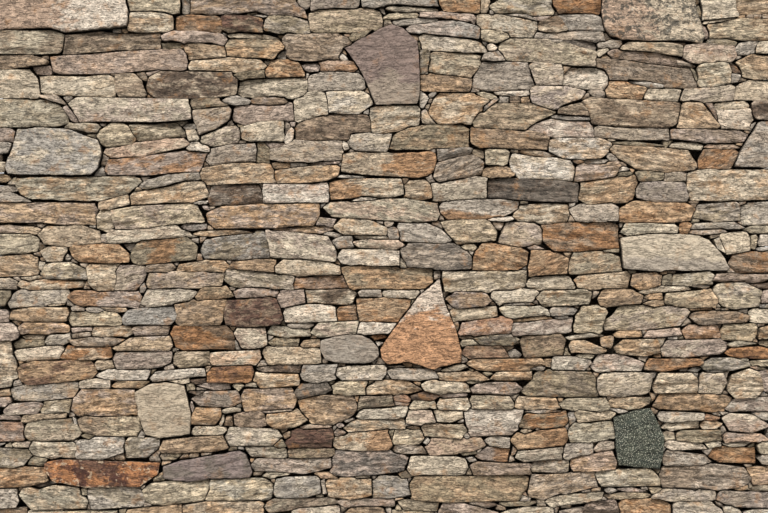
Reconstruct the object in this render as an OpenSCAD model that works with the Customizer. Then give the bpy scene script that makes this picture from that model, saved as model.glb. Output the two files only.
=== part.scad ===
// Free-standing dry stone field wall, double faced, laid without mortar.
// X runs along the wall, the face that is seen looks towards -Y, Z is up.
// The origin is on the ground, below the middle of the wall.

/* [Wall] */
// Length of the masonry between the two upright heads
wall_length = 3360; // [3360:20:4200]
// Height of the top of the masonry above the ground
masonry_top = 1830; // [1830:10:1900]
// Thickness of the wall just above its footing
base_thickness = 780; // [760:10:860]
// Rise for each unit that a face leans in
batter = 9; // [8.5:0.5:12]
// Depth of the laid stones of each face, measured across the wall
skin_depth = 150; // [140:5:160]

/* [Footing] */
// Height of the footing stones
footing_height = 140; // [110:10:160]
// Step of the footing beyond the masonry on every side
footing_step = 40; // [20:5:80]
// Length of the footing stone below each head
end_footing_length = 330; // [260:10:400]
// Number of footing stones along each face
footing_count = 7; // [5:1:10]
// Width of the hearting strip between the two rows of footing stones
footing_strip = 70; // [50:10:120]

/* [Wall heads] */
// Number of courses in a head, odd so that ties come first and last
head_courses = 13; // [11:2:15]
// Length along the wall of the tie stones, which span the whole thickness
tie_length = 240; // [200:10:280]
// Length along the wall of the runners, which bond into the faces
runner_length = 420; // [360:10:450]

/* [Coping] */
// Thickness of the cover band of flat slabs
cover_thickness = 55; // [40:5:70]
// Overhang of the cover band beyond each face
cover_overhang = 22; // [10:2:40]
// Number of cover slabs
cover_count = 9; // [7:1:12]
// Height of the tallest cope stone, set on edge
cope_height = 228; // [180:4:260]
// Width of a cope stone across the wall
cope_width = 400; // [340:10:420]
// Number of cope stones
cope_count = 34; // [26:1:40]
// Lean of the cope stones along the wall, from foot to top
cope_lean = 26; // [0:2:40]

/* [Stone dressing] */
// Open joint between stones of one row
joint = 7; // [4:1:12]
// Width of the worn arris of a loose block
arris = 12; // [6:1:18]
// Width of the worn arris of a stone seated in the face
face_arris = 9; // [5:1:14]
// Depth to which a face stone is seated behind the face
seat_depth = 125; // [90:5:130]
// Number that picks the small differences between like stones
variation = 11; // [1:1:99]

/* [Hidden] */

half_length = wall_length / 2;
head_foot = footing_height;
course_rise = (masonry_top - head_foot) / head_courses;
lift_tops = [545, 980, 1410, masonry_top];
// Half width of the fill between the runners, at the foot and at the top of a head
fill_foot = 110;
fill_top = 36;
cut_reach = 1200;

// Stone outlines are given on the survey grid of the face: columns to the right and
// rows down from the top left corner of a patch 768 columns wide and 513 rows high.
grid_pitch = 3.125;
patch_columns = 768;
patch_rows = 513;
patch_foot = 190;
face_slope = atan(1 / batter);

five_sided_outline = [
  [344, 48], [360, 40], [382, 28], [392, 25], [404, 29], [417, 42], [419, 56],
  [420, 90], [417, 104], [376, 105], [364, 77], [355, 62]
];
triangular_outline = [
  [439, 279], [445, 303], [449, 312], [456, 330], [461, 350], [461, 362],
  [434, 369], [407, 362], [388, 364], [381, 358], [380, 349], [392, 331], [418, 297]
];
green_speckled_outline = [
  [613, 418], [632, 411], [650, 408], [657, 420], [664, 437], [663, 448],
  [660, 469], [640, 467], [618, 465], [615, 440]
];
pale_slab_outline = [
  [620, 238], [648, 234], [676, 234], [698, 236], [709, 240], [724, 257],
  [730, 267], [728, 271], [665, 270], [660, 272], [623, 269]
];
lichen_top_outline = [
  [602, -8], [694, -8], [697, 12], [702, 24], [705, 36], [702, 43], [684, 41],
  [622, 40], [610, 36], [604, 28], [601, 12]
];
speckled_top_outline = [
  [-9, -9], [123, -9], [129, 12], [128, 27], [105, 29], [65, 33], [50, 28],
  [0, 29], [-8, 28], [-11, 10]
];
light_grey_outline = [
  [17, 129], [42, 127], [64, 128], [98, 140], [102, 152], [98, 168], [92, 175],
  [40, 175], [8, 174], [5, 167], [13, 146]
];
square_buff_outline = [
  [135, 392], [150, 384], [166, 382], [184, 386], [188, 402], [191, 416],
  [190, 434], [160, 438], [146, 434], [139, 416]
];
grey_cobble_outline = [
  [321, 341], [335, 336], [350, 334], [362, 335], [372, 341], [378, 348],
  [379, 355], [373, 361], [366, 363], [340, 363], [325, 360], [321, 350]
];
rust_block_outline = [
  [46, 462], [60, 459], [160, 463], [158, 474], [140, 487], [88, 487],
  [56, 482], [46, 470]
];
lilac_slab_outline = [
  [163, 467], [180, 461], [240, 451], [246, 454], [253, 472], [250, 477],
  [205, 479], [188, 482], [163, 479]
];
dark_block_outline = [
  [228, 300], [246, 299], [270, 297], [277, 299], [281, 309], [283, 318],
  [280, 324], [258, 327], [240, 327], [226, 325], [224, 318], [225, 310]
];
leaning_grey_outline = [
  [758, 122], [776, 121], [779, 141], [777, 168], [734, 167], [739, 154],
  [746, 141], [752, 132]
];

// Ends of the through stones, as they show in the face
lower_through_outlines = [
  [[17, 369], [22, 364], [34, 361], [70, 360], [91, 361], [95, 368], [97, 373],
    [92, 378], [70, 382], [38, 385], [26, 385], [19, 379]],
  [[337, 368], [350, 366], [384, 365], [387, 368], [386, 375], [382, 380],
    [360, 380], [342, 381], [335, 375]],
  [[597, 379], [603, 373], [615, 372], [640, 372], [651, 374], [652, 381],
    [650, 392], [644, 395], [615, 397], [600, 396], [597, 389]]
];
upper_through_outlines = [
  [[16, 178], [50, 177], [128, 176], [140, 178], [142, 182], [128, 193],
    [98, 201], [50, 200], [30, 199], [20, 194], [15, 186]],
  [[343, 154], [352, 152], [400, 153], [430, 151], [436, 154], [437, 160],
    [434, 170], [428, 176], [412, 178], [368, 175], [341, 172]],
  [[688, 173], [697, 170], [708, 169], [735, 170], [774, 169], [778, 185],
    [776, 200], [720, 201], [691, 200], [687, 188]]
];

function half_thickness(z) = base_thickness / 2 - (z - head_foot) / batter;
function on_face(p) = [
  (p[0] - patch_columns / 2) * grid_pitch,
  patch_foot + (patch_rows - p[1]) * grid_pitch * cos(face_slope)
];
function outline_mm(points) = [for (p = points) on_face(p)];
function middle(points) = [for (axis = [0, 1]) sum([for (p = points) p[axis]]) / len(points)];
function sum(list, i = 0) = i >= len(list) ? 0 : list[i] + sum(list, i + 1);
function shrunk(points, by) = let (c = middle(points))
  [for (p = points) p + (c - p) * min(0.45, by / norm(c - p))];

// Distances along a row where one stone ends and the next begins
function row_marks(from, to, count, spread, seed) =
  let (shift = rands(-spread, spread, count + 1, seed), step = (to - from) / count)
  [for (i = [0:count]) from + i * step + (i == 0 || i == count ? 0 : shift[i] * step)];

// Reach of each head into the wall, course by course
function bond_reach(side) = let (shift = rands(-24, 24, head_courses, variation + side))
  [for (k = [0:head_courses - 1]) (k % 2 == 0 ? tie_length : runner_length) + shift[k]];
left_reach = bond_reach(1);
right_reach = bond_reach(2);
function course_foot(k) = head_foot + k * course_rise;

// Extrusion of an upright outline, given as [x, z], right across the wall
module across_wall(points) {
  translate([0, cut_reach, 0])
    rotate([90, 0, 0])
      linear_extrude(2 * cut_reach)
        polygon(points);
}

// Extrusion of a cross-section, given as [y, z], from one x to another
module along_wall(points, from, to) {
  translate([from, 0, 0])
    rotate([90, 0, 90])
      linear_extrude(to - from)
        polygon(points);
}

// Rectangle with its four corners cut, given by its limits
function cut_box(a0, a1, b0, b1, cut) = [
  [a0 + cut, b0], [a1 - cut, b0], [a1, b0 + cut], [a1, b1 - cut],
  [a1 - cut, b1], [a0 + cut, b1], [a0, b1 - cut], [a0, b0 + cut]
];

// Section of the whole battered wall between two heights
function wall_section(z0, z1, inset = 0) = [
  [-half_thickness(z0) + inset, z0], [half_thickness(z0) - inset, z0],
  [half_thickness(z1) - inset, z1], [-half_thickness(z1) + inset, z1]
];

// Section of one face skin, side -1 for the front and 1 for the back
function skin_section(side, z0, z1) = [
  [side * half_thickness(z0), z0], [side * (half_thickness(z0) - skin_depth), z0],
  [side * (half_thickness(z1) - skin_depth), z1], [side * half_thickness(z1), z1]
];

// Upright outline of the masonry between the toothed ends of the two heads
function between_heads() = concat(
  [for (k = [0:head_courses - 1], up = [0, 1])
    [half_length - right_reach[k], course_foot(k + up)]],
  [for (k = [head_courses - 1:-1:0], up = [1, 0])
    [-half_length + left_reach[k], course_foot(k + up)]]
);

// Footing

module footing_row(side) {
  inner = footing_strip / 2;
  outer = base_thickness / 2 + footing_step;
  reach = half_length + footing_step - end_footing_length;
  marks = row_marks(-reach, reach, footing_count, 0.16, variation + 20 + side);
  low = side < 0 ? -outer : inner;
  high = side < 0 ? -inner : outer;
  for (i = [0:footing_count - 1])
    intersection() {
      translate([0, 0, -1])
        linear_extrude(footing_height + 2)
          polygon(cut_box(marks[i] + joint / 2, marks[i + 1] - joint / 2, low, high, arris));
      along_wall(
        [[low, 0], [high, 0], [high, footing_height - (side > 0 ? arris : 0)],
          [high - (side > 0 ? arris : 0), footing_height],
          [low + (side < 0 ? arris : 0), footing_height],
          [low, footing_height - (side < 0 ? arris : 0)]],
        marks[i], marks[i + 1]);
    }
}

module front_footings() {
  color("#9a917f") footing_row(-1);
}

module back_footings() {
  color("#9a917f") footing_row(1);
}

module end_footing(side) {
  outer = base_thickness / 2 + footing_step;
  far = half_length + footing_step;
  near = far - end_footing_length;
  intersection() {
    linear_extrude(footing_height)
      polygon(cut_box(side < 0 ? -far : near, side < 0 ? -near : far, -outer, outer, arris));
    along_wall(
      [[-outer, 0], [outer, 0], [outer, footing_height - arris], [outer - arris, footing_height],
        [arris - outer, footing_height], [-outer, footing_height - arris]],
      -2 * far, 2 * far);
  }
}

module left_end_footing() {
  color("#a39a88") end_footing(-1);
}

module right_end_footing() {
  color("#a39a88") end_footing(1);
}

// Stones that bind or mark the face

module through_row(outlines) {
  for (points = outlines)
    across_wall(outline_mm(points));
}

module throughs(outlines) {
  intersection() {
    through_row(outlines);
    along_wall(wall_section(head_foot, masonry_top), -half_length, half_length);
  }
}

module lower_throughs() {
  color("#a89f92") throughs(lower_through_outlines);
}

module upper_throughs() {
  color("#b5a68d") throughs(upper_through_outlines);
}

// Pocket in the front face that a seated stone fills exactly
module pocket(points) {
  intersection() {
    across_wall(outline_mm(points));
    along_wall(
      [[-half_thickness(0) - footing_step, 0], [-half_thickness(0) + seat_depth, 0],
        [-half_thickness(masonry_top) + seat_depth, masonry_top],
        [-half_thickness(masonry_top) - footing_step, masonry_top]],
      -half_length, half_length);
  }
}

// Stone seated in the front face: a prism to the face, then a worn arris up to its proud front
module seated_stone(points, proud) {
  edge = outline_mm(points);
  front = shrunk(edge, face_arris);
  count = len(edge);
  function ring(outline, out) = [for (p = outline) [p[0], -half_thickness(p[1]) - out, p[1]]];
  polyhedron(
    points = concat(ring(edge, -seat_depth), ring(edge, 0), ring(front, proud)),
    faces = concat(
      [[for (i = [count - 1:-1:0]) i]],
      [[for (i = [0:count - 1]) 2 * count + i]],
      [for (level = [0, 1], i = [0:count - 1], half = [0, 1])
        let (a = level * count + i, b = level * count + (i + 1) % count)
          half == 0 ? [a, b, a + count] : [b, b + count, a + count]]
    )
  );
}

module five_sided_stone() {
  color("#ab9478") seated_stone(five_sided_outline, 14);
}

module triangular_stone() {
  color("#c9b49a") seated_stone(triangular_outline, 16);
}

module green_speckled_stone() {
  color("#5f6152") seated_stone(green_speckled_outline, 12);
}

module pale_slab_stone() {
  color("#cbb9aa") seated_stone(pale_slab_outline, 10);
}

module lichen_top_stone() {
  color("#b9aa92") seated_stone(lichen_top_outline, 14);
}

module speckled_top_stone() {
  color("#b79a84") seated_stone(speckled_top_outline, 12);
}

module light_grey_stone() {
  color("#c9bba9") seated_stone(light_grey_outline, 14);
}

module square_buff_stone() {
  color("#bfb095") seated_stone(square_buff_outline, 13);
}

module grey_cobble() {
  color("#a79c92") seated_stone(grey_cobble_outline, 15);
}

module rust_block() {
  color("#a5774e") seated_stone(rust_block_outline, 12);
}

module lilac_slab() {
  color("#b3a3a0") seated_stone(lilac_slab_outline, 11);
}

module dark_block() {
  color("#6b4f41") seated_stone(dark_block_outline, 10);
}

module leaning_grey_stone() {
  color("#a89d90") seated_stone(leaning_grey_outline, 12);
}

// Faces and hearting

module lift(side, index) {
  foot = index == 0 ? head_foot : lift_tops[index - 1];
  intersection() {
    across_wall(between_heads());
    along_wall(skin_section(side, foot, lift_tops[index]), -half_length, half_length);
  }
}

module front_lift_1() {
  color("#b09f88") difference() {
    lift(-1, 0);
    through_row(lower_through_outlines);
    pocket(green_speckled_outline);
    pocket(square_buff_outline);
    pocket(rust_block_outline);
    pocket(lilac_slab_outline);
  }
}

module front_lift_2() {
  color("#b8a78d") difference() {
    lift(-1, 1);
    through_row(lower_through_outlines);
    pocket(triangular_outline);
    pocket(square_buff_outline);
    pocket(pale_slab_outline);
    pocket(grey_cobble_outline);
    pocket(dark_block_outline);
  }
}

module front_lift_3() {
  color("#ad9f8b") difference() {
    lift(-1, 2);
    through_row(upper_through_outlines);
    pocket(pale_slab_outline);
    pocket(light_grey_outline);
    pocket(leaning_grey_outline);
  }
}

module front_lift_4() {
  color("#b3a48f") difference() {
    lift(-1, 3);
    pocket(five_sided_outline);
    pocket(lichen_top_outline);
    pocket(speckled_top_outline);
  }
}

module back_lift_1() {
  color("#b09f88") difference() {
    lift(1, 0);
    through_row(lower_through_outlines);
  }
}

module back_lift_2() {
  color("#b8a78d") difference() {
    lift(1, 1);
    through_row(lower_through_outlines);
  }
}

module back_lift_3() {
  color("#ad9f8b") difference() {
    lift(1, 2);
    through_row(upper_through_outlines);
  }
}

module back_lift_4() {
  color("#b3a48f") lift(1, 3);
}

// Small packed stones between the faces, with the strip between the footing rows
module hearting() {
  strip = footing_strip / 2;
  strip_reach = half_length + footing_step - end_footing_length;
  color("#7d7263") difference() {
    union() {
      intersection() {
        across_wall(between_heads());
        along_wall(
          [[-half_thickness(head_foot) + skin_depth, head_foot],
            [half_thickness(head_foot) - skin_depth, head_foot],
            [half_thickness(masonry_top) - skin_depth, masonry_top],
            [-half_thickness(masonry_top) + skin_depth, masonry_top]],
          -half_length, half_length);
      }
      translate([-strip_reach, -strip, 0])
        cube([2 * strip_reach, 2 * strip, head_foot]);
    }
    through_row(lower_through_outlines);
    through_row(upper_through_outlines);
  }
}

// Bonded heads

// One block of a head: upright outline with cut corners, held inside a cross-section
module head_block(side, reach, k, section) {
  outer = side * half_length;
  inner = side * (half_length - reach);
  low = min(outer, inner);
  high = max(outer, inner);
  intersection() {
    across_wall(cut_box(low, high, course_foot(k), course_foot(k + 1), arris * 0.6));
    along_wall(section, low - 1, high + 1);
  }
}

// Cross-section of a tie, the full thickness with its upright arrises cut
function tie_section(k) =
  let (z0 = course_foot(k), z1 = course_foot(k + 1), h0 = half_thickness(z0), h1 = half_thickness(z1))
  [[arris - h0, z0], [h0 - arris, z0], [h0 - arris / batter, z0 + arris], [h1 + arris / batter, z1 - arris],
    [h1 - arris, z1], [arris - h1, z1], [-h1 - arris / batter, z1 - arris], [arris / batter - h0, z0 + arris]];

// Half width of the fill between the runners at a height
function fill_half(z) = fill_foot + (fill_top - fill_foot) * (z - head_foot) / (masonry_top - head_foot);

function runner_section(face, k) =
  let (z0 = course_foot(k), z1 = course_foot(k + 1), h0 = half_thickness(z0), h1 = half_thickness(z1))
  [[face * fill_half(z0), z0], [face * (h0 - arris), z0], [face * (h0 - arris / batter), z0 + arris],
    [face * (h1 + arris / batter), z1 - arris], [face * (h1 - arris), z1], [face * fill_half(z1), z1]];

function fill_section(k) =
  let (z0 = course_foot(k), z1 = course_foot(k + 1))
  [[-fill_half(z0), z0], [fill_half(z0), z0], [fill_half(z1), z1], [-fill_half(z1), z1]];

module head_ties(side, reaches) {
  for (k = [0:2:head_courses - 1])
    head_block(side, reaches[k], k, tie_section(k));
}

module head_runners(side, reaches) {
  for (k = [1:2:head_courses - 1], face = [-1, 1])
    head_block(side, reaches[k], k, runner_section(face, k));
}

module head_fill(side, reaches) {
  for (k = [1:2:head_courses - 1])
    head_block(side, reaches[k], k, fill_section(k));
}

module left_head_ties() {
  color("#a8987f") head_ties(-1, left_reach);
}

module left_head_runners() {
  color("#b7a78c") head_runners(-1, left_reach);
}

module left_head_fill() {
  color("#857866") head_fill(-1, left_reach);
}

module right_head_ties() {
  color("#a8987f") head_ties(1, right_reach);
}

module right_head_runners() {
  color("#b7a78c") head_runners(1, right_reach);
}

module right_head_fill() {
  color("#857866") head_fill(1, right_reach);
}

// Cover band and coping

module cover_band() {
  reach = half_length + cover_overhang;
  outer = half_thickness(masonry_top) + cover_overhang;
  top = masonry_top + cover_thickness;
  marks = row_marks(-reach, reach, cover_count, 0.2, variation + 31);
  color("#9c917f")
    for (i = [0:cover_count - 1])
      intersection() {
        across_wall(cut_box(marks[i] + joint / 2, marks[i + 1] - joint / 2, masonry_top, top, arris * 0.5));
        along_wall(cut_box(-outer, outer, masonry_top, top, arris * 0.8), marks[i], marks[i + 1]);
      }
}

// Cross-section of a cope stone, upright sides under a worn rounded top
function cope_section(width, height) =
  let (foot = masonry_top + cover_thickness, spring = height * 0.55)
  concat(
    [[width * 0.47, foot], [width / 2, foot + height * 0.08]],
    [for (a = [0:20:180])
      [width / 2 * sign(cos(a)) * pow(abs(cos(a)), 0.75),
        foot + spring + (height - spring) * pow(sin(a), 0.85)]],
    [[-width / 2, foot + height * 0.08], [-width * 0.47, foot]]
  );

module cope_stones() {
  reach = half_length + cover_overhang - arris;
  foot = masonry_top + cover_thickness;
  feet = row_marks(-reach, reach, cope_count, 0.22, variation + 41);
  sway = rands(-5, 5, cope_count + 1, variation + 42);
  heights = rands(cope_height * 0.84, cope_height, cope_count, variation + 43);
  widths = rands(cope_width * 0.93, cope_width, cope_count, variation + 44);
  color("#8f8574")
    for (i = [0:cope_count - 1]) {
      left_lean = (cope_lean + sway[i]) * min(1, i / 3, (cope_count - i) / 3);
      right_lean = (cope_lean + sway[i + 1]) * min(1, (i + 1) / 3, (cope_count - 1 - i) / 3);
      top = foot + cope_height;
      intersection() {
        across_wall([
          [feet[i] + joint / 2, foot], [feet[i + 1] - joint / 2, foot],
          [feet[i + 1] + right_lean - joint / 2, top], [feet[i] + left_lean + joint / 2, top]
        ]);
        along_wall(cope_section(widths[i], heights[i]), -2 * reach, 2 * reach);
      }
    }
}

front_footings();
back_footings();
left_end_footing();
right_end_footing();
front_lift_1();
front_lift_2();
front_lift_3();
front_lift_4();
back_lift_1();
back_lift_2();
back_lift_3();
back_lift_4();
hearting();
lower_throughs();
upper_throughs();
left_head_ties();
left_head_runners();
left_head_fill();
right_head_ties();
right_head_runners();
right_head_fill();
cover_band();
cope_stones();
five_sided_stone();
triangular_stone();
green_speckled_stone();
pale_slab_stone();
lichen_top_stone();
speckled_top_stone();
light_grey_stone();
square_buff_stone();
grey_cobble();
rust_block();
lilac_slab();
dark_block();
leaning_grey_stone();
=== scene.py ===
"""Dry stone wall: every face stone, head block, footing and cope stone has a shape of its own.

The stones of the front face are read from the photograph. They are laid against each other on
the flat face, given ragged outlines and broken surfaces, and set in place of the frame's lifts.
The blocks of the heads, the footings and the cope are cut out of the frame's own solids.
"""
import math

import bpy
import numpy as np
from mathutils import Matrix, Vector
from mathutils.geometry import delaunay_2d_cdt


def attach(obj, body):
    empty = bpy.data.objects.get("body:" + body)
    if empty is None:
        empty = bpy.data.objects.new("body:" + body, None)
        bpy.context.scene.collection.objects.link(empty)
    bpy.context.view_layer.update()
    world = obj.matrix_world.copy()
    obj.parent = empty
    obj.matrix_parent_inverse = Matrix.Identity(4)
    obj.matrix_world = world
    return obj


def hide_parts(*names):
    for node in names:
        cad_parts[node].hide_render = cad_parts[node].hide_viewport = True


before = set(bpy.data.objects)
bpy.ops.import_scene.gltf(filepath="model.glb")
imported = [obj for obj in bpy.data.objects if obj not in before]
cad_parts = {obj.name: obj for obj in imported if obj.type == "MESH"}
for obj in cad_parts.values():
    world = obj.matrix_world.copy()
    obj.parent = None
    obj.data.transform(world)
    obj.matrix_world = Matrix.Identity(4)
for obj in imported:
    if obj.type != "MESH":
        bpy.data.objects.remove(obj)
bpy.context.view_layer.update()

SEED = 20261126

# The photograph's frame on the battered face
PIXEL = 0.003125          # metres of wall face to one pixel
PHOTO_WIDTH = 768
PHOTO_MIDDLE = 384        # pixel column over the middle of the wall
PHOTO_FOOT = 513          # pixel row at the bottom edge
PHOTO_FOOT_Z = 0.190      # height of that edge over the floor

# The wall, as the frame has it
BATTER_RUN = 9            # the faces lean in by 1 in this
BATTER = math.atan(1 / BATTER_RUN)
BASE_Z = 0.140            # top of the footings
BASE_HALF = 0.390         # half of the wall's thickness on the footings
COURSE = 0.130            # height of one head course
HEAD_COURSES = 13
LIFT_TOPS = (0.545, 0.980, 1.410, 1.830)
HEARTING_HALF = 1.22      # half of the length of the hearting
HEARTING_Z = (0.150, 1.825)
HEARTING_DEPTH = 0.090    # of the rubble behind the faces
HEARTING_LUMP = 0.020     # highest lump of the rubble
HEARTING_WAVE = 0.05      # and the widest
HEAD_REACH = 0.25         # how much of a head block the stones of the face look at

# Where the border stones go, in pixels
LEFT_EDGE, RIGHT_EDGE = -10, 779        # points at or beyond these lie outside the photograph
LEFT_MARGIN, RIGHT_MARGIN = -21, 791    # where the margin stones of the tie courses begin
HEAD_JOINT = 1.6
MARGIN_JOINT = 1.4
MARGIN_BED = 0.8          # half of the bed joint of two margin stones
MARGIN_SAG = 2
ROW_HEIGHTS = (0.7, 1.3)  # least and most height of a row of stones, before they fill a course

# Laying the stones, in metres
JOINT = 0.0025            # usual gap between two face stones
TIGHT, LOOSE = 0.0016, 0.0030           # least and most gap that one stone asks for
GROW = 0.0056             # most that the edge of a stone may grow into a gap
FASTEST = 0.0022          # most that an edge grows in one round
NEAR = 0.012              # stones further apart than this don't look at each other
ROUNDS = 9                # of laying
FACING = 0.35             # cosine from which an edge counts as facing a neighbour
IN_LINE = 0.9             # cosine from which two edges count as one straight side
EASING = (0.04, 0.16)     # least and most smoothing of a laid outline
WIDE_RAG = (0.036, 0.0030)              # widest bump of a ragged outline, and its height
FINE_RAG = (0.013, 0.0024)
NOTCH, BULGE = 0.0056, 0.0026           # most that a ragged outline goes in and out
RAG_INSET = 0.0004
THIN = 0.010              # stones of less than this half-thickness are less ragged

# Pinning stones
LEAST_PIN = 0.0052        # half-width of the narrowest gap that gets a pinning stone
PIN_GROWTH = 0.013        # most that the edge of a pinning stone grows
PIN_ROUNDS = 8
PIN_GRID = 0.004
PIN_SPACING = 0.003       # between the points of a pinning stone's outline
PIN_REACH = 0.03          # gaps wider than this count as no wider
PIN_FOOT, PIN_TOP = 0.004, 0.012        # kept free over the footings and under the cover band
PIN_START = 0.7           # half-diagonal of a new pinning stone, in half-widths of its gap
PIN_APART = (2.2, 0.006)  # from one to the next: in half-widths of the gap, and in metres besides
PIN_PROUD = (-0.014, -0.004)
HOLLOWS = (               # dark gaps in the photograph, left open: left, top, right, bottom in pixels
    (303, 5, 310, 19), (383, 7, 399, 15), (420, 41, 424, 50),
    (552, 104, 561, 116), (-2, 150, 11, 163), (691, 150, 704, 166), (199, 209, 208, 223),
    (195, 235, 203, 259), (320, 207, 334, 218), (499, 219, 508, 244), (591, 294, 599, 305),
    (606, 305, 618, 319), (81, 285, 89, 291), (699, 234, 716, 241), (725, 253, 741, 263),
    (116, 311, 126, 326), (511, 342, 520, 351), (519, 379, 531, 389), (466, 459, 474, 474),
    (755, 451, 766, 466), (16, 497, 26, 509), (274, 507, 291, 514),
)

# Meshing, in metres
FRONT_SPACING = 0.0046    # between the mesh points of a front stone
BACK_SPACING = 0.0085
BLOCK_SPACING = 0.0125
COPE_SPACING = 0.013
FILL_SPACING = 0.0075
WALL_SPACING = 0.02       # between the points of a head block's outline
HEARTING_SPACING = 0.020
FACE_DEPTH = (0.06, 0.09)               # least and most that a stone of the lifts runs in
STONE_DEPTH = 0.09        # how far a landmark or a through stone's end runs into the wall
FILL_DEPTH = 0.08
ROW_STEP = 0.9            # between the rows of inner points, in spacings
JITTER = 0.24             # most that an inner point strays, in spacings
CLEAR = 0.62              # least distance of an inner point from the outline, in spacings
OUTWARD = 0.35            # cosine from which a face of a block counts as looking out of the wall
HIDDEN = 0.35             # how closely its other faces are meshed
COPE_HIDDEN = 0.4
FEWEST_POINTS = 14        # in an outline with evenly spaced points
SHARP = math.radians(40)  # arrises at least as sharp as this are shaded as edges

# Wear, in metres, and the painted light and shade at a face stone's rim
ARRIS = (0.0008, 0.0026)  # least and most radius of a face stone's arris
RIM = 0.0024              # width of the rim of a face stone that is painted darker, as painted shade
RIM_LIGHT = 0.16          # painted light on a rim that looks to the side; 1 is that of the face
RIM_SKY = 0.30            # and how much more painted light one that looks up has
REAR_STEP = 3             # every third point of a stone's outline has a match at the rear
REAR_CAP = 0.006          # how far the middle of the rear stands behind its outline
REAR_INSET = 0.012        # most that the rear outline lies inside the front one,
REAR_SHARE = 0.22         # and the same as a share of the stone's lesser side
BED_TILT = 0.38           # steepest bed of a face stone, in radians
OBLONG = 2.2              # stones rounder than this have a level bed
SHEET_RUN = 6.5           # how many times longer than thick the sheets of a stone are
LEAFY_SLOPE, MASSIVE_SLOPE = 0.22, 0.30   # steepest spalls of stone with sheets and without
FEWEST_SPALLS, MOST_SPALLS = 3, 6
FACET_DEPTH = 0.0095      # deepest spall in the face of a stone
SPALL_STEP = 0.003        # most that a spall begins over the last one
THIN_SHEETS = (0.0075, 0.013)           # least and most thickness
THICK_SHEETS = (0.014, 0.024)
SHEET_DEPTH = 0.0032      # of the steps where sheets of the stone have split off
LEAFY_STEPS, MASSIVE_STEPS = (0.6, 1.3), (0.2, 0.7)     # share of that depth, by kind of stone
SLOW_SWELL = (0.045, 0.0024)            # widest swell of a face, and its height
FAST_SWELL = (0.014, 0.0026)
LEAN = 0.06               # most slope of a whole stone's face, each way
PROUD = (-0.008, 0.010)   # how far the usual stone stands out of the wall's face
SMALL_PROUD = (-0.010, 0.000)
SMALL = 0.03              # stones with a side shorter than this are small
THROUGH_PROUD, FAR_END_PROUD = 0.006, 0.004
FILL_PROUD = -0.016
UNCUT = 5                 # half-width of a block's face before its neighbours cut it
BREAK_STRAY = 0.05        # most that the break in a face of a block lies from its middle
BREAK_DEPTH = 0.002       # most that the broken part begins below the face
BLOCK_SWELL = (0.07, 0.45)              # widest swell of a block, and its share of the lumps
BLOCK_BUMP = (0.024, 0.55)
LOWEST_LUMP = -1.9        # lumps are no lower than this, so the block stays inside its solid
LUMP_SHARE = 0.3          # depth of a lump, as a share of the block's own measure
CHIP_WAVE = 0.030         # widest chip in the edge of a block
WELD = 0.000437           # corners of a block nearer than this become one
ARRIS_WEAR = 0.0006       # the least that the edge of a block is worn down
ARRIS_CHIP = 0.0045       # deepest chip in it
SHEET = 0.016             # thickness of the sheets in a block

# Tones of the stone, set so that the stones of each tone match the photograph's mean colour
TONES = {
    "BU": (176, 156, 131),    # buff
    "CR": (187, 171, 148),    # cream
    "WH": (198, 183, 164),    # white cream
    "WG": (160, 145, 128),    # warm grey
    "PG": (163, 151, 136),    # pale grey
    "PK": (164, 146, 131),    # pink grey
    "OL": (138, 124, 102),    # olive grey
    "OC": (173, 158, 134),    # olive cream
    "TN": (169, 141, 111),    # tan
    "RU": (149, 111, 78),     # rust
    "BR": (135, 116, 96),     # brown
    "UM": (98, 82, 68),       # umber
    "SL": (112, 102, 91),     # slate
    "DR": (98, 73, 60),       # dark red brown
    "PP": (178, 152, 130),    # peach
    "RD": (148, 114, 90),     # reddish brown
    "GN": (66, 69, 59),       # green black
    "BL": (178, 136, 102),    # rusty blush
    "OR": (172, 122, 84),     # orange brown
    "LI": (136, 119, 110),    # lilac grey
    "CP": (200, 184, 166),    # cream pink
}
LAMINATED = ("BR", "OL", "OC", "TN", "RU", "UM", "SL")      # tones of stone that splits in sheets
LEAFY_STREAKS, MASSIVE_STREAKS = (0.6, 1.0), (0.2, 0.6)     # strength of the streaks, by kind
# The second tone where the schedule gives none
COMPANION = {"RU": "TN", "RD": "BR", "BR": "BU", "TN": "BU", "PP": "CR", "UM": "WG", "DR": "BR"}
PIN_TONES = ("WG", "OL", "BR", "PG", "TN")
MARGIN_TONES = ("BU", "CR", "WG", "OC", "TN", "PK", "PG", "BR")
HEAD_TONES = (("BU", "CR"), ("WG", "BU"), ("TN", "OC"), ("OC", "PG"), ("PK", "WG"), ("CR", "TN"),
              ("BR", "TN"), ("PG", "CR"))
COPE_TONES = (("WG", "OL"), ("OL", "SL"), ("OL", "WG"), ("BR", "WG"), ("PK", "OL"), ("SL", "WG"))
BACK_STEP = 37            # the back takes its tones from the front, this many stones on each time

# Stains, spots and crusts
SPOTS = {
    # cells to a metre, detail and roughness of a noise, where in it the spot begins and where
    # it is full, and its colour
    "rust": (19, 5, 0.7, 0.55, 0.68, (182, 132, 84)),
    "dark": (88, 3, 0.6, 0.66, 0.76, (72, 60, 52)),
    "burnt": (24, 6, 0.72, 0.50, 0.57, (74, 46, 40)),
    "dark crust": (44, 6, 0.75, 0.50, 0.56, (80, 76, 68)),
    "pale crust": (41, 6, 0.7, 0.62, 0.68, (188, 182, 166)),
}
STAIN_COVER = 0.7         # most of the stone's colour that rust or a dark spot takes
PALE_FLECK = (206, 180, 150)
GREEN_GRAIN = (176, 172, 152)
BUMP_DISTANCE = 0.0050

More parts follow.
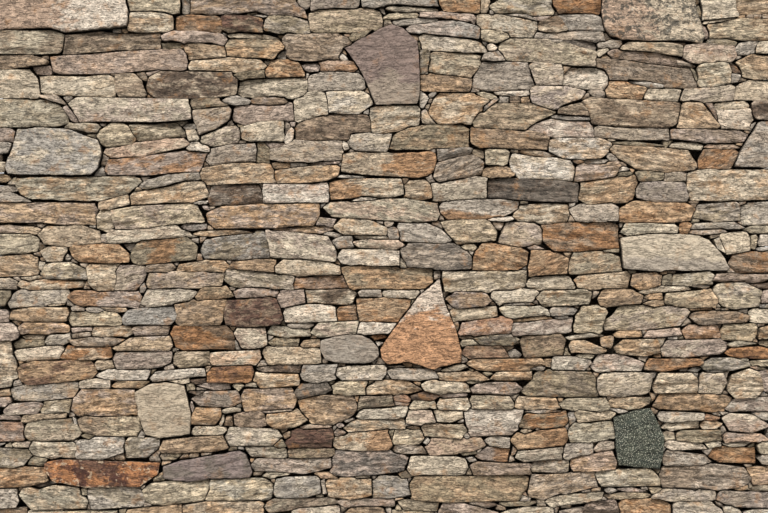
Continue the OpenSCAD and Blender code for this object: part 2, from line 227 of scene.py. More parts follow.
LANDMARKS = (
    # node, tone, second tone, its side, slot, material, streaks, how far it stands proud
    ("five_sided_stone", "LI", "WG", "B", "face_stone", "smooth", 0.20, 0.013),
    ("triangular_stone", "BL", "CP", "T", "rust_stone", "blushed", 0.10, 0.012),
    ("green_speckled_stone", "GN", "GN", "", "dark_stone", "speckled", 0.10, 0.012),
    ("pale_slab_stone", "CR", "PG", "B", "pale_stone", "smooth", 0.45, 0.012),
    ("lichen_top_stone", "CR", "PP", "L", "pale_stone", "lichened", 0.15, 0.012),
    ("speckled_top_stone", "PP", "WH", "R", "face_stone", "mottled", 0.15, 0.011),
    ("light_grey_stone", "PG", "CR", "", "pale_stone", "plain", 0.40, 0.010),
    ("square_buff_stone", "CR", "BU", "", "pale_stone", "smooth", 0.20, 0.012),
    ("grey_cobble", "WG", "PG", "", "face_stone", "smooth", 0.20, 0.012),
    ("rust_block", "OR", "DR", "", "rust_stone", "rusted", 0.30, 0.010),
    ("lilac_slab", "LI", "SL", "", "face_stone", "smooth", 0.25, 0.010),
    ("dark_block", "DR", "BR", "", "dark_stone", "mottled", 0.40, 0.011),
    ("leaning_grey_stone", "WG", "PG", "", "face_stone", "plain", 0.35, 0.011),
)
THROUGHS = {              # tone, second tone and its side, from left to right
    "lower_throughs": (("TN", "DR", ""), ("WH", "CR", ""), ("CR", "PG", "")),
    "upper_throughs": (("OC", "TN", ""), ("BU", "RU", "R"), ("CR", "TN", "")),
}

# Camera, light and floor
LENS, SENSOR = 50.0, 36.0
VIEW_REACH = 60
WORLD_LIGHT = 0.485
WORLD_SHOWN = 0.86
LAMPS = (
    # name, where it stands as seen from the wall, strength, softness in degrees
    ("sky_front", (-1.0, -2.9, 3.5), 3.8, 30),
    ("sky_back", (1.0, 2.9, 3.5), 2.7, 30),
    ("fill_left", (-6.0, -0.6, 1.6), 1.3, 50),
    ("fill_right", (6.0, -0.6, 1.6), 1.3, 50),
)
FLOOR_SIZE = 30
FLOOR_DROP = 0.0005
FLOOR_SHOWN = (166, 164, 161)
FLOOR_BOUNCE = (104, 102, 99)


# Numbers and noise

def value_noise(points, seed):
    """Smooth noise from -1 to 1 at each point, one cell to a unit."""
    cell = np.floor(points).astype(np.int64)
    part = points - cell
    part = part * part * (3 - 2 * part)
    total = np.zeros(len(points))
    for corner in range(8):
        step = np.array([corner & 1, corner >> 1 & 1, corner >> 2])
        at = cell + step
        mixed = at[:, 0] * 73856093 ^ at[:, 1] * 19349663 ^ at[:, 2] * 83492791 ^ seed * 97531
        mixed = (mixed ^ mixed >> 13) * 1274126177 & 0xFFFFFFFF
        mixed = (mixed ^ mixed >> 15) * 739982445 & 0xFFFFFFFF
        value = (mixed ^ mixed >> 16) / 0x7FFFFFFF - 1
        total += value * np.where(step, part, 1 - part).prod(axis=1)
    return total


def rough(points, size, seed, octaves=3):
    """Sum of finer and finer noise, about -1 to 1; size is the widest bump in metres."""
    total = np.zeros(len(points))
    weight = 1.0
    for octave in range(octaves):
        total += weight * value_noise(points / size, seed + 17 * octave)
        size *= 0.48
        weight *= 0.5
    return total / 1.6


def new_seed(rng):
    return int(rng.integers(1 << 20))


def lifted(flat, level):
    """Points of a plane as points in space, all at one level."""
    return np.column_stack([flat, np.full(len(flat), level)])


def linear(colour):
    """Shader colour of a colour given in 0 to 255."""
    part = np.asarray(colour, float) / 255
    return np.where(part <= 0.04045, part / 12.92, ((part + 0.055) / 1.055) ** 2.4)


def varied(tone, rng, towards=None, share=0.0):
    """Shader colour of a tone, a little lighter, darker, warmer or cooler than the next stone's."""
    colour = np.array(TONES[tone], float)
    if towards:
        colour = colour * (1 - share) + np.array(TONES[towards], float) * share
    colour *= 1 + rng.normal(0, 0.03)
    colour *= 1 + np.array([0.010, 0, -0.012]) * rng.normal(0, 1)
    return linear(np.clip(colour, 20, 245))


def is_leafy(tone, patch):
    """True for stone that splits in thin sheets."""
    return tone in LAMINATED or patch in LAMINATED


# Places on the face

def on_face(pixels):
    """Points on the face, in metres right of the middle and up from the photograph's foot."""
    pixels = np.asarray(pixels, float)
    return np.column_stack([(pixels[:, 0] - PHOTO_MIDDLE) * PIXEL,
                            (PHOTO_FOOT - pixels[:, 1]) * PIXEL])


def height_on_face(z):
    return (z - PHOTO_FOOT_Z) / math.cos(BATTER)


class Plane:
    """A flat frame to build stones on: right, up and out of it, with its own middle."""

    def __init__(self, origin, right, up):
        self.origin = np.array(origin, float)
        self.right = np.array(right, float)
        self.up = np.array(up, float)
        self.out = np.cross(self.right, self.up)

    def place(self, flat, height):
        return (self.origin + flat[:, :1] * self.right + flat[:, 1:2] * self.up
                + np.asarray(height)[:, None] * self.out)


FOOT_HALF = BASE_HALF - (PHOTO_FOOT_Z - BASE_Z) / BATTER_RUN
FRONT = Plane((0, -FOOT_HALF, PHOTO_FOOT_Z), (1, 0, 0), (0, math.sin(BATTER), math.cos(BATTER)))
BACK = Plane((0, FOOT_HALF, PHOTO_FOOT_Z), (-1, 0, 0), (0, -math.sin(BATTER), math.cos(BATTER)))


# Outlines

def turned(loop):
    """The same loop, counterclockwise."""
    return loop if signed_area(loop) > 0 else loop[::-1].copy()


def mirrored(loop):
    """The loop as it lies on the back face, still counterclockwise."""
    return (loop * (-1, 1))[::-1]


def lengths(vectors):
    return np.linalg.norm(vectors, axis=1)


def softened(loop, cut):
    """Cuts each corner off at no more than the given distance."""
    for reach in (cut, cut * 0.4):
        back = np.roll(loop, 1, axis=0) - loop
        ahead = np.roll(loop, -1, axis=0) - loop
        long_back = lengths(back)[:, None] + 1e-9
        long_ahead = lengths(ahead)[:, None] + 1e-9
        first = loop + back / long_back * np.minimum(long_back * 0.36, reach)
        second = loop + ahead / long_ahead * np.minimum(long_ahead * 0.36, reach)
        loop = np.stack([first, second], axis=1).reshape(-1, 2)
    return loop


def subdivided(loop, spacing):
    """The loop with its corners kept and evenly spaced points between them."""
    points = []
    for start, end in zip(loop, np.roll(loop, -1, axis=0)):
        steps = max(1, int(round(np.linalg.norm(end - start) / spacing)))
        points.append(start + (end - start) * (np.arange(steps) / steps)[:, None])
    return np.vstack(points)


def resampled(loop, spacing):
    """The loop with evenly spaced points."""
    closed = np.vstack([loop, loop[:1]])
    run = np.concatenate([[0], np.cumsum(lengths(np.diff(closed, axis=0)))])
    count = max(FEWEST_POINTS, int(run[-1] / spacing))
    at = np.arange(count) / count * run[-1]
    return np.column_stack([np.interp(at, run, closed[:, 0]), np.interp(at, run, closed[:, 1])])


def to_the_right(along):
    """Unit vectors square to the given ones, on their right."""
    along = along / (lengths(along)[:, None] + 1e-12)
    return np.column_stack([along[:, 1], -along[:, 0]])


def outward(loop):
    """Unit normals at the points of a loop, pointing out of it."""
    return to_the_right(np.roll(loop, -1, axis=0) - np.roll(loop, 1, axis=0))


def edge_normals(loop):
    """Unit normals of the edges that begin at the points of a loop, pointing out of it."""
    return to_the_right(np.roll(loop, -1, axis=0) - loop)


def moved_edges(loop, move):
    """The loop with each edge moved outwards by its own amount, and the corners kept."""
    out = edge_normals(loop)
    before, move_before = np.roll(out, 1, axis=0), np.roll(move, 1)
    turn = before[:, 0] * out[:, 1] - before[:, 1] * out[:, 0]
    sharp = np.abs(turn) > 0.25
    safe = np.where(sharp, turn, 1.0)
    corner = np.column_stack([move_before * out[:, 1] - move * before[:, 1],
                              move * before[:, 0] - move_before * out[:, 0]]) / safe[:, None]
    both = before + out
    both /= lengths(both)[:, None] + 1e-9
    straight = both * ((move + move_before) / 2)[:, None]
    step = np.where(sharp[:, None], corner, straight)
    most = 1.6 * np.maximum(np.abs(move), np.abs(move_before)) + 1e-9
    size = lengths(step) + 1e-12
    return loop + step * np.minimum(1, most / size)[:, None]


def unfolded(loop, before):
    """Merges the ends of edges that a move turned round; both loops may have more columns."""
    while len(loop) > 6:
        now = np.roll(loop, -1, axis=0)[:, :2] - loop[:, :2]
        was = np.roll(before, -1, axis=0)[:, :2] - before[:, :2]
        flipped = np.flatnonzero((now * was).sum(axis=1) <= 0)
        if not len(flipped):
            break
        at = flipped[0]
        after = (at + 1) % len(loop)
        loop[at] = (loop[at] + loop[after]) / 2
        before[at] = (before[at] + before[after]) / 2
        loop, before = np.delete(loop, after, axis=0), np.delete(before, after, axis=0)
    return loop


def eased(loop, weight):
    """The loop with each point drawn a little towards its neighbours."""
    return loop * (1 - 2 * weight) + weight * (np.roll(loop, 1, axis=0) + np.roll(loop, -1, axis=0))


def signed_distance(points, loop):
    """Distance from each point to the loop, below zero inside it."""
    return distance_and_way(points, loop)[0]


def distance_and_way(points, loop):
    """Signed distance to the loop, and the unit direction in which the loop's inside lies."""
    step = np.roll(loop, -1, axis=0) - loop
    to = points[:, None, :] - loop[None]
    share = (to * step).sum(2) / np.maximum((step ** 2).sum(1), 1e-14)
    to -= np.clip(share, 0, 1)[..., None] * step
    length = (to ** 2).sum(2)
    best = length.argmin(1)
    number = np.arange(len(points))
    nearest = np.sqrt(length[number, best])
    height = points[:, 1][:, None]
    crosses = (loop[:, 1] > height) != (loop[:, 1] + step[:, 1] > height)
    rise = np.where(np.abs(step[:, 1]) < 1e-12, 1e-12, step[:, 1])
    crossing = loop[:, 0] + (height - loop[:, 1]) * step[:, 0] / rise
    inside = (crosses & (points[:, 0][:, None] < crossing)).sum(1) % 2 == 1
    away = to[number, best] / (nearest[:, None] + 1e-12)
    sign = np.where(inside, -1.0, 1.0)
    return nearest * sign, -away * sign[:, None]


def untangled(loop):
    """The loop without the knots where it crosses itself; more columns than two are kept."""
    while len(loop) > 6:
        step = np.roll(loop[:, :2], -1, axis=0) - loop[:, :2]
        between = loop[None, :, :2] - loop[:, None, :2]
        turn = step[:, None, 0] * step[None, :, 1] - step[:, None, 1] * step[None, :, 0]
        turn = np.where(np.abs(turn) < 1e-14, 1e-14, turn)
        mine = (between[..., 0] * step[None, :, 1] - between[..., 1] * step[None, :, 0]) / turn
        other = (between[..., 0] * step[:, None, 1] - between[..., 1] * step[:, None, 0]) / turn
        hit = (mine >= 0) & (mine <= 1) & (other >= 0) & (other <= 1)
        number = np.arange(len(loop))
        apart = number[None] - number[:, None]
        hit &= (apart > 1) & (apart < len(loop) - 1)
        if not hit.any():
            break
        first, second = np.argwhere(hit)[0]
        knot = loop[first] + (loop[(first + 1) % len(loop)] - loop[first]) * mine[first, second]
        inside = np.vstack([knot, loop[first + 1:second + 1]])
        outside = np.vstack([loop[:first + 1], knot, loop[second + 1:]])
        loop = inside if signed_area(inside) > signed_area(outside) else outside
    gap = lengths(loop[:, :2] - np.roll(loop[:, :2], 1, axis=0))
    return loop[gap > 0.0004]


def signed_area(loop):
    """Area inside a loop, above zero where it runs counterclockwise."""
    ahead = np.roll(loop, -1, axis=0)
    return (loop[:, 0] * ahead[:, 1] - ahead[:, 0] * loop[:, 1]).sum() / 2


def bulk(loop):
    """Rough half-thickness of a loop."""
    return abs(signed_area(loop)) / lengths(np.roll(loop, -1, axis=0) - loop).sum()


# The frame's solids

def groups_of(count, triangles):
    """For each of the points, the lowest number among the points that triangles join it to."""
    group = np.arange(count)
    for _ in range(count):
        lowest = group[triangles].min(axis=1)
        before = group.copy()
        for side in range(3):
            np.minimum.at(group, triangles[:, side], lowest)
        if (group == before).all():
            break
    return group


def solids_of(node):
    """Corners and triangles of each separate solid in a node, from left to right."""
    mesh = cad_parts[node].data
    mesh.calc_loop_triangles()
    corners = np.array([v.co for v in mesh.vertices])
    welded, index = np.unique(np.round(corners, 5), axis=0, return_inverse=True)
    index = index.reshape(-1)
    triangles = np.array([[index[i] for i in t.vertices] for t in mesh.loop_triangles])
    group = groups_of(len(welded), triangles)
    solids = []
    for name in np.unique(group[triangles[:, 0]]):
        mine = triangles[group[triangles[:, 0]] == name]
        used, again = np.unique(mine, return_inverse=True)
        solids.append((welded[used], again.reshape(-1, 3)))
    return sorted(solids, key=lambda solid: (round(solid[0][:, 0].mean(), 2), solid[0][:, 2].mean()))


def ring_on_face(solid):
    """The loop where a solid meets the front face, in metres on the face."""
    corners = solid[0]
    off = corners[:, 1] + BASE_HALF - (corners[:, 2] - BASE_Z) / BATTER_RUN
    ring = corners[np.abs(off) < 0.0006]
    flat = np.column_stack([ring[:, 0], height_on_face(ring[:, 2])])
    middle = flat.mean(axis=0)
    order = np.argsort(np.arctan2(flat[:, 1] - middle[1], flat[:, 0] - middle[0]))
    return flat[order]


# Stones of the front face

def new_stone(pixels, tone, patch=None, side=""):
    return {"corners": np.array(pixels, float), "tone": tone, "patch": patch or tone,
            "side": side, "fixed": False}


def read_stones(bands):
    """Stones as written in the bands: tone, second tone, side of it, outline."""
    stones = []
    for line in bands.split("\n"):
        words = line.split()
        if words:
            look, _, side = words[0].partition("@")
            tone, _, patch = look.partition("/")
            points = [tuple(float(n) for n in word.split(",")) for word in words[1:]]
            stones.append(new_stone(points, tone, patch or COMPANION.get(tone), side))
    return stones


def frame_stone(solid, tone, patch, side, proud):
    """A face stone whose outline comes from a solid of the frame."""
    flat = ring_on_face(solid)
    pixels = np.column_stack([flat[:, 0] / PIXEL + PHOTO_MIDDLE, PHOTO_FOOT - flat[:, 1] / PIXEL])
    stone = new_stone(pixels, tone, patch, side)
    stone.update(fixed=True, proud=proud)
    return stone


def read_landmarks():
    """The face stones that the frame has as nodes of their own."""
    stones = []
    for node, tone, patch, side, slot, look, streaky, proud in LANDMARKS:
        stone = frame_stone(solids_of(node)[0], tone, patch, side, proud)
        stone.update(node=node, slot=slot, look=look, streaky=streaky, calm=0.45, blend=0.1,
                     lean=2.0 if side else 0.4)
        stones.append(stone)
    return stones


def read_throughs():
    """The ends of the through stones in the front face."""
    stones = []
    for node, ends in THROUGHS.items():
        for solid, (tone, patch, side) in zip(solids_of(node), ends):
            stone = frame_stone(solid, tone, patch, side, THROUGH_PROUD)
            stone["node"] = node
            stones.append(stone)
    return stones


def head_blocks():
    """The blocks of both heads that show in the front face; sign is 1 at the left head."""
    blocks = []
    for side, sign in (("left", 1), ("right", -1)):
        for corners, _ in solids_of(side + "_head_ties") + solids_of(side + "_head_runners"):
            low, high = corners.min(axis=0), corners.max(axis=0)
            if low[1] > 0:
                continue
            inner = high[0] if sign > 0 else low[0]
            bottom, top = height_on_face(low[2]), height_on_face(high[2])
            outer = inner - sign * HEAD_REACH
            loop = np.array([[outer, bottom], [inner, bottom], [inner, top], [outer, top]])
            blocks.append({"course": int(round((low[2] - BASE_Z) / COURSE)), "sign": sign,
                           "inner": inner / PIXEL + PHOTO_MIDDLE, "loop": loop})
    return blocks


def head_reaches(blocks):
    """For each course, the pixel columns where the stones of the schedule begin and end."""
    reaches = [(LEFT_MARGIN, RIGHT_MARGIN)] * HEAD_COURSES
    for course in range(1, HEAD_COURSES, 2):
        inner = {block["sign"]: block["inner"] for block in blocks if block["course"] == course}
        reaches[course] = (inner[1] + HEAD_JOINT, inner[-1] - HEAD_JOINT)
    return reaches


def stretch_to_heads(stones, reaches):
    """Moves the outer points of the border stones to the head stones, or to the margin."""
    for stone in stones:
        for point in stone["corners"]:
            z = PHOTO_FOOT_Z + (PHOTO_FOOT - point[1]) * PIXEL * math.cos(BATTER)
            course = int(np.clip((z - BASE_Z) // COURSE, 0, HEAD_COURSES - 1))
            if point[0] <= LEFT_EDGE:
                point[0] = reaches[course][0]
            if point[0] >= RIGHT_EDGE:
                point[0] = reaches[course][1]


def uneven_rows(rows, rng):
    """Where rows of unequal height begin and end, from 0 to 1."""
    cuts = np.cumsum(rng.uniform(*ROW_HEIGHTS, rows))
    return np.concatenate([[0], cuts / cuts[-1]])


def margin_stones(blocks, rng):
    """Two or three stones, one on the other, beside each tie of the heads."""
    stones = []
    for block in blocks:
        if block["course"] % 2:
            continue
        low = PHOTO_FOOT - height_on_face(BASE_Z + block["course"] * COURSE) / PIXEL
        high = PHOTO_FOOT - height_on_face(BASE_Z + (block["course"] + 1) * COURSE) / PIXEL
        outer = block["inner"] + block["sign"] * HEAD_JOINT
        inner = LEFT_MARGIN if block["sign"] > 0 else RIGHT_MARGIN
        inner -= block["sign"] * MARGIN_JOINT
        middle = (outer + inner) / 2
        rows = 2 + int(rng.random() < 0.6)
        cuts = uneven_rows(rows, rng)
        for row in range(rows):
            bottom = low + (high - low) * cuts[row] - MARGIN_BED
            top = low + (high - low) * cuts[row + 1] + MARGIN_BED
            sag = rng.uniform(-MARGIN_SAG, MARGIN_SAG, 4)
            ring = [(outer, bottom + sag[0]), (outer, top + sag[1]), (middle, top + sag[2]),
                    (inner, top), (inner, bottom), (middle, bottom + sag[3])]
            tone = MARGIN_TONES[int(rng.integers(len(MARGIN_TONES)))]
            stones.append(new_stone(ring, tone, "WG"))
    return stones


# Laying: the outlines grow until they meet

def near_stones(count, boxes, most):
    """For each of the first stones, the numbers of those that it can come to meet."""
    near = []
    for i, box in enumerate(boxes[:count]):
        apart = np.maximum(boxes[:, :2] - box[2:], box[:2] - boxes[:, 2:]).max(axis=1)
        near.append([j for j in np.flatnonzero(apart < NEAR + 2 * most[i]) if j != i])
    return near


def edge_moves(stone, own_bulk, others, most):
    """How far each edge of a stone moves outwards in a round; below zero it draws back."""
    loop = stone["loop"]
    out = edge_normals(loop)
    middle = (loop + np.roll(loop, -1, axis=0)) / 2
    move = most
    for other, other_bulk in others:
        gap, way = distance_and_way(middle, other["loop"])
        share = 1.0 if other["fixed"] else own_bulk / (own_bulk + other_bulk)
        facing = (way * out).sum(axis=1) > FACING
        joint = (stone.get("joint", JOINT) + other.get("joint", JOINT)) / 2
        move = np.where(facing, np.minimum(move, (gap - joint) * share), move)
    for side in (1, -1):
        same = (out * np.roll(out, side, axis=0)).sum(axis=1) > IN_LINE
        move = np.minimum(move, np.where(same, (move + np.roll(move, side)) / 2, move))
    return np.maximum(move, -2 * FASTEST)


def lay(stones, still, rounds, growth=None):
    """Moves the edges of the stones until they meet, at the joint's width, or can't grow more."""
    everything = stones + still
    boxes = np.array([[*s["loop"].min(axis=0), *s["loop"].max(axis=0)] for s in everything])
    bulks = [bulk(s["loop"]) for s in everything]
    most = [growth or min(GROW, 0.50 * b) for b in bulks]
    near = near_stones(len(stones), boxes, most)
    grown = [np.zeros(len(s["loop"])) for s in stones]
    for turn in range(rounds):
        fastest = FASTEST if turn < rounds - 1 else 0
        moved = []
        for i, stone in enumerate(stones):
            loop = stone["loop"]
            if not stone["fixed"]:
                others = [(everything[j], bulks[j]) for j in near[i]]
                move = edge_moves(stone, bulks[i], others, np.minimum(most[i] - grown[i], fastest))
                total = grown[i] + move
                laid = np.column_stack([moved_edges(loop, move), total])
                laid = untangled(unfolded(laid, np.column_stack([loop, total])))
                loop, grown[i] = laid[:, :2], laid[:, 2]
            moved.append(loop)
        for stone, loop in zip(stones, moved):
            stone["loop"] = loop


def open_space(stones):
    """A grid over the face, and how far each of its points lies from the nearest stone."""
    low = np.min([s["loop"].min(axis=0) for s in stones if "tone" in s], axis=0)
    high = np.max([s["loop"].max(axis=0) for s in stones if "tone" in s], axis=0)
    low[1] = max(low[1], height_on_face(BASE_Z) + PIN_FOOT)
    across = np.arange(low[0], high[0], PIN_GRID)
    up = np.arange(low[1], high[1] - PIN_TOP, PIN_GRID)
    grid = np.stack(np.meshgrid(across, up), axis=-1)
    open_by = np.full(grid.shape[:2], PIN_REACH)
    for stone in stones:
        loop = stone["loop"]
        first = np.maximum(((loop.min(axis=0) - PIN_REACH - low) / PIN_GRID).astype(int), 0)
        last = np.maximum(((loop.max(axis=0) + PIN_REACH - low) / PIN_GRID).astype(int), 0)
        part = (slice(first[1], last[1]), slice(first[0], last[0]))
        if open_by[part].size:
            gap = signed_distance(grid[part].reshape(-1, 2), loop).reshape(open_by[part].shape)
            open_by[part] = np.minimum(open_by[part], gap)
    for x0, y0, x1, y1 in HOLLOWS:
        loop = on_face([(x0, y0), (x1, y0), (x1, y1), (x0, y1)])
        inside = ((grid > loop.min(axis=0)) & (grid < loop.max(axis=0))).all(axis=2)
        open_by[inside] = 0
    return grid, open_by


def pins_for(stones, rng):
    """Small stones, still to be grown, for the gaps that the photograph doesn't show as hollows."""
    grid, open_by = open_space(stones)
    turns = np.linspace(0, 2 * math.pi, 4, endpoint=False) + math.pi / 4
    square = np.column_stack([np.cos(turns), np.sin(turns)])
    pins = []
    while open_by.max() >= LEAST_PIN:
        at = np.unravel_index(open_by.argmax(), open_by.shape)
        room = open_by[at]
        pins.append({"loop": subdivided(grid[at] + square * PIN_START * room, PIN_SPACING),
                     "fixed": False, "side": "",
                     "tone": PIN_TONES[int(rng.integers(len(PIN_TONES)))], "patch": "WG",
                     "proud": rng.uniform(*PIN_PROUD)})
        reach = np.linalg.norm(grid - grid[at], axis=2)
        open_by = np.where(reach < PIN_APART[0] * room + PIN_APART[1], 0, open_by)
    return pins


def make_ragged(stones, rng):
    """Gives the laid loops the notches and bulges of broken stone."""
    for stone in stones:
        loop = eased(stone["loop"], rng.uniform(*EASING))
        seed = new_seed(rng)
        flat = lifted(loop, 0.37)
        ragged = rough(flat, WIDE_RAG[0], seed, 2) * WIDE_RAG[1]
        ragged = ragged + rough(flat, FINE_RAG[0], seed + 5, 2) * FINE_RAG[1] - RAG_INSET
        ragged = np.clip(ragged, -NOTCH, BULGE) * min(1.0, bulk(loop) / THIN)
        stone["loop"] = untangled(loop + outward(loop) * ragged[:, None])


def lay_front(rng):
    """Every stone of the front face, laid: those of the lifts, the landmarks, and the throughs."""
    blocks = head_blocks()
    stones = read_stones(BAND_A + BAND_B + BAND_C + BAND_D + BAND_E)
    stretch_to_heads(stones, head_reaches(blocks))
    stones += margin_stones(blocks, rng)
    landmarks = read_landmarks()
    throughs = read_throughs()
    everything = stones + landmarks + throughs
    for stone in everything:
        stone["loop"] = subdivided(turned(on_face(stone["corners"])), FRONT_SPACING)
        stone["joint"] = rng.uniform(TIGHT, LOOSE)
    walls = [{"loop": subdivided(turned(block["loop"]), WALL_SPACING), "fixed": True}
             for block in blocks]
    lay(everything, walls, ROUNDS)
    pins = pins_for(everything + walls, rng)
    lay(pins, walls + [dict(stone, fixed=True) for stone in everything], PIN_ROUNDS, PIN_GROWTH)
    make_ragged(everything + pins, rng)
    return stones + pins, landmarks, throughs


# The surface of a face stone

def bed_direction(loop):
    """Direction of the long side of a stone, no more than 22 degrees from level."""
    middle = loop - loop.mean(axis=0)
    values, vectors = np.linalg.eigh(middle.T @ middle)
    long_side = vectors[:, 1]
    if values[1] < values[0] * OBLONG:
        return np.array([1.0, 0.0])
    if long_side[0] < 0:
        long_side = -long_side
    tilt = np.clip(math.atan2(long_side[1], long_side[0]), -BED_TILT, BED_TILT)
    return np.array([math.cos(tilt), math.sin(tilt)])


def along_and_across(points, bed):
    """Places of points along a bed direction and square to it."""
    return points @ bed, points @ np.array([-bed[1], bed[0]])


def inner_points(loop, spacing, rng):
    """Points of a jittered grid inside a loop."""
    low, high = loop.min(axis=0), loop.max(axis=0)
    across = np.arange(low[0] + spacing / 2, high[0], spacing)
    up = np.arange(low[1] + spacing / 2, high[1], spacing * ROW_STEP)
    grid = np.stack(np.meshgrid(across, up), axis=-1)
    grid[1::2, :, 0] += spacing / 2
    grid = grid.reshape(-1, 2)
    grid = grid + rng.uniform(-JITTER, JITTER, grid.shape) * spacing
    return grid[signed_distance(grid, loop) < -CLEAR * spacing]


def triangulated(loop, inner):
    """Points and triangles that fill a loop, its own points first; a fan if it crosses itself."""
    points = [Vector(p) for p in [*loop, *inner]]
    made = delaunay_2d_cdt(points, [], [list(range(len(loop)))], 1, 1e-7)
    source = [first[0] if first else -1 for first in made[3]]
    if made[2] and source == list(range(len(points))):
        return np.array([tuple(p) for p in made[0]]), np.array(made[2])
    count = len(loop)
    fan = [(i, (i + 1) % count, count) for i in range(count)]
    return np.vstack([loop, loop.mean(axis=0)]), np.array(fan)


def facets(flat, rng, steep):
    """Height of a surface broken into a few flat spalls; 0 at most."""
    size = np.ptp(flat, axis=0)
    height = np.zeros(len(flat))
    for _ in range(int(rng.integers(FEWEST_SPALLS, MOST_SPALLS + 1))):
        through = flat.min(axis=0) + rng.uniform(0.1, 0.9, 2) * size
        angle = rng.choice([-1, 1]) * rng.normal(math.pi / 2, 0.5)
        slope = rng.uniform(0.03, steep)
        away = (flat - through) @ np.array([math.cos(angle), math.sin(angle)])
        height = np.minimum(height, -slope * away + rng.uniform(0, SPALL_STEP))
    return -FACET_DEPTH * np.tanh(-height / FACET_DEPTH)


def arris_drop(flat, edge, rng, seed):
    """How far the surface falls away towards the stone's edge, in a radius that varies."""
    radius = min(rng.uniform(*ARRIS), 0.12 * np.ptp(flat, axis=0).min())
    radius = radius * np.exp(rough(lifted(flat, 0.5), 0.026, seed))
    share = 1 - np.clip(edge / np.maximum(radius, 0.001), 0, 1)
    return radius * (1 - np.sqrt(1 - share ** 2)) * rng.uniform(0.8, 1.3)


def relief(flat, edge, stone, bed, rng, proud):
    """Height of the stone's face over the wall's face at each point."""
    seed = new_seed(rng)
    height = proud - arris_drop(flat, edge, rng, seed)
    leafy = is_leafy(stone["tone"], stone["patch"])
    strength = rng.uniform(*(LEAFY_STEPS if leafy else MASSIVE_STEPS))
    along, across = along_and_across(flat, bed)
    sheets = np.column_stack([along / SHEET_RUN, across, np.full(len(flat), 0.2)])
    level = value_noise(sheets / rng.uniform(*THIN_SHEETS), seed + 3)
    level = level + 0.8 * np.tanh(5 * value_noise(sheets / rng.uniform(*THICK_SHEETS), seed + 4))
    calm = stone.get("calm", 1.0)
    height += calm * strength * SHEET_DEPTH * level
    height += calm * facets(flat, rng, LEAFY_SLOPE if leafy else MASSIVE_SLOPE)
    spot = lifted(flat, 0.5)
    height += calm * SLOW_SWELL[1] * rough(spot, SLOW_SWELL[0], seed + 1)
    height += FAST_SWELL[1] * rough(spot, FAST_SWELL[0], seed + 2)
    tilt = rng.uniform(-LEAN, LEAN, 2)
    height += (flat - flat.mean(axis=0)) @ tilt
    return height


def side_bias(flat, side):
    """How far each point leans to the side where the second tone lies."""
    low, high = flat.min(axis=0), flat.max(axis=0)
    across, up = ((flat - low) / np.maximum(high - low, 1e-6)).T
    bias = {"L": 0.62 - 1.3 * across, "R": 1.3 * across - 0.68, "T": 1.6 * up - 0.95,
            "B": 0.5 - 1.5 * up, "M": 0.5 - 2.4 * np.abs(across - 0.5)}
    return np.maximum(bias.get(side, np.zeros(len(flat))), -0.30)


def painted_rim_light(loop, edge, rng):
    """Painted light on the face and its rim: 1 inside, painted shade at the rim, least where it looks
    down.
    """
    count = len(loop)
    level = np.clip(edge / RIM, 0, 1)
    uneven = 0.40 * rough(lifted(loop, 0.8), 0.030, new_seed(rng), 2)
    upper = outward(loop)[:, 1]
    light = RIM_LIGHT + RIM_SKY * upper + rng.uniform(-0.1, 0.2) + uneven
    level[:count] = np.clip(light, -0.2, 0.8)
    return level


def side_triangles(count, first_rear):
    """Triangles from a stone's outline back to its rear outline, and over the rear."""
    rear_count = -(-count // REAR_STEP)
    sides = []
    for i in range(count):
        rear = first_rear + i // REAR_STEP
        ahead = (i + 1) % count
        sides.append((i, rear, ahead))
        if ahead % REAR_STEP == 0:
            sides.append((ahead, rear, first_rear + (i // REAR_STEP + 1) % rear_count))
    for j in range(rear_count):
        sides.append((first_rear + (j + 1) % rear_count, first_rear + j, first_rear + rear_count))
    return sides


def look_of(stone, spots, level, rng):
    """A stone's tones, and for each point its lean to the second one, its streaks and its painted
    light.
    """
    tone, patch = stone["tone"], stone["patch"]
    bias = side_bias(spots, stone["side"]) * stone.get("lean", 1.0)
    streaky = rng.uniform(*(LEAFY_STREAKS if is_leafy(tone, patch) else MASSIVE_STREAKS))
    streaky = np.full(len(spots), stone.get("streaky", streaky))
    return {"mask": np.column_stack([bias, streaky, level]), "tone": varied(tone, rng),
            "patch": varied(patch, rng, tone, stone.get("blend", 0.25))}


def add_stone(batch, stone, plane, spacing, depth, rng):
    """Meshes one face stone: worn face, arris all round, sides that run back, and a rear cap."""
    loop = stone["loop"]
    flat, triangles = triangulated(loop, inner_points(loop, spacing, rng))
    edge = -signed_distance(flat, loop)
    edge[:len(loop)] = 0
    bed = bed_direction(loop)
    least = np.ptp(loop, axis=0).min()
    usual = rng.uniform(*(SMALL_PROUD if least < SMALL else PROUD))
    height = relief(flat, edge, stone, bed, rng, stone.get("proud", usual))

    inset = min(REAR_INSET, REAR_SHARE * least)
    rear = np.vstack([(loop - outward(loop) * inset)[::REAR_STEP], loop.mean(axis=0)])
    rear_height = np.full(len(rear), -depth)
    points = np.vstack([plane.place(flat, height), plane.place(rear, rear_height)])
    points[-1] -= plane.out * REAR_CAP
    triangles = np.vstack([triangles, side_triangles(len(loop), len(flat))])

    spots = np.vstack([flat, rear])
    grain = np.column_stack([*along_and_across(spots, bed), np.concatenate([height, rear_height])])
    grain = grain + rng.uniform(-40, 40, 3)
    # painted light of each point: painted shade at the rim, darker where it looks down, and the rear
    # in the darkest painted shade
    level = np.concatenate([painted_rim_light(loop, edge, rng), np.full(len(rear), -1.0)])
    batch.add(points, triangles, grain=grain, **look_of(stone, spots, level, rng))


# Pieces

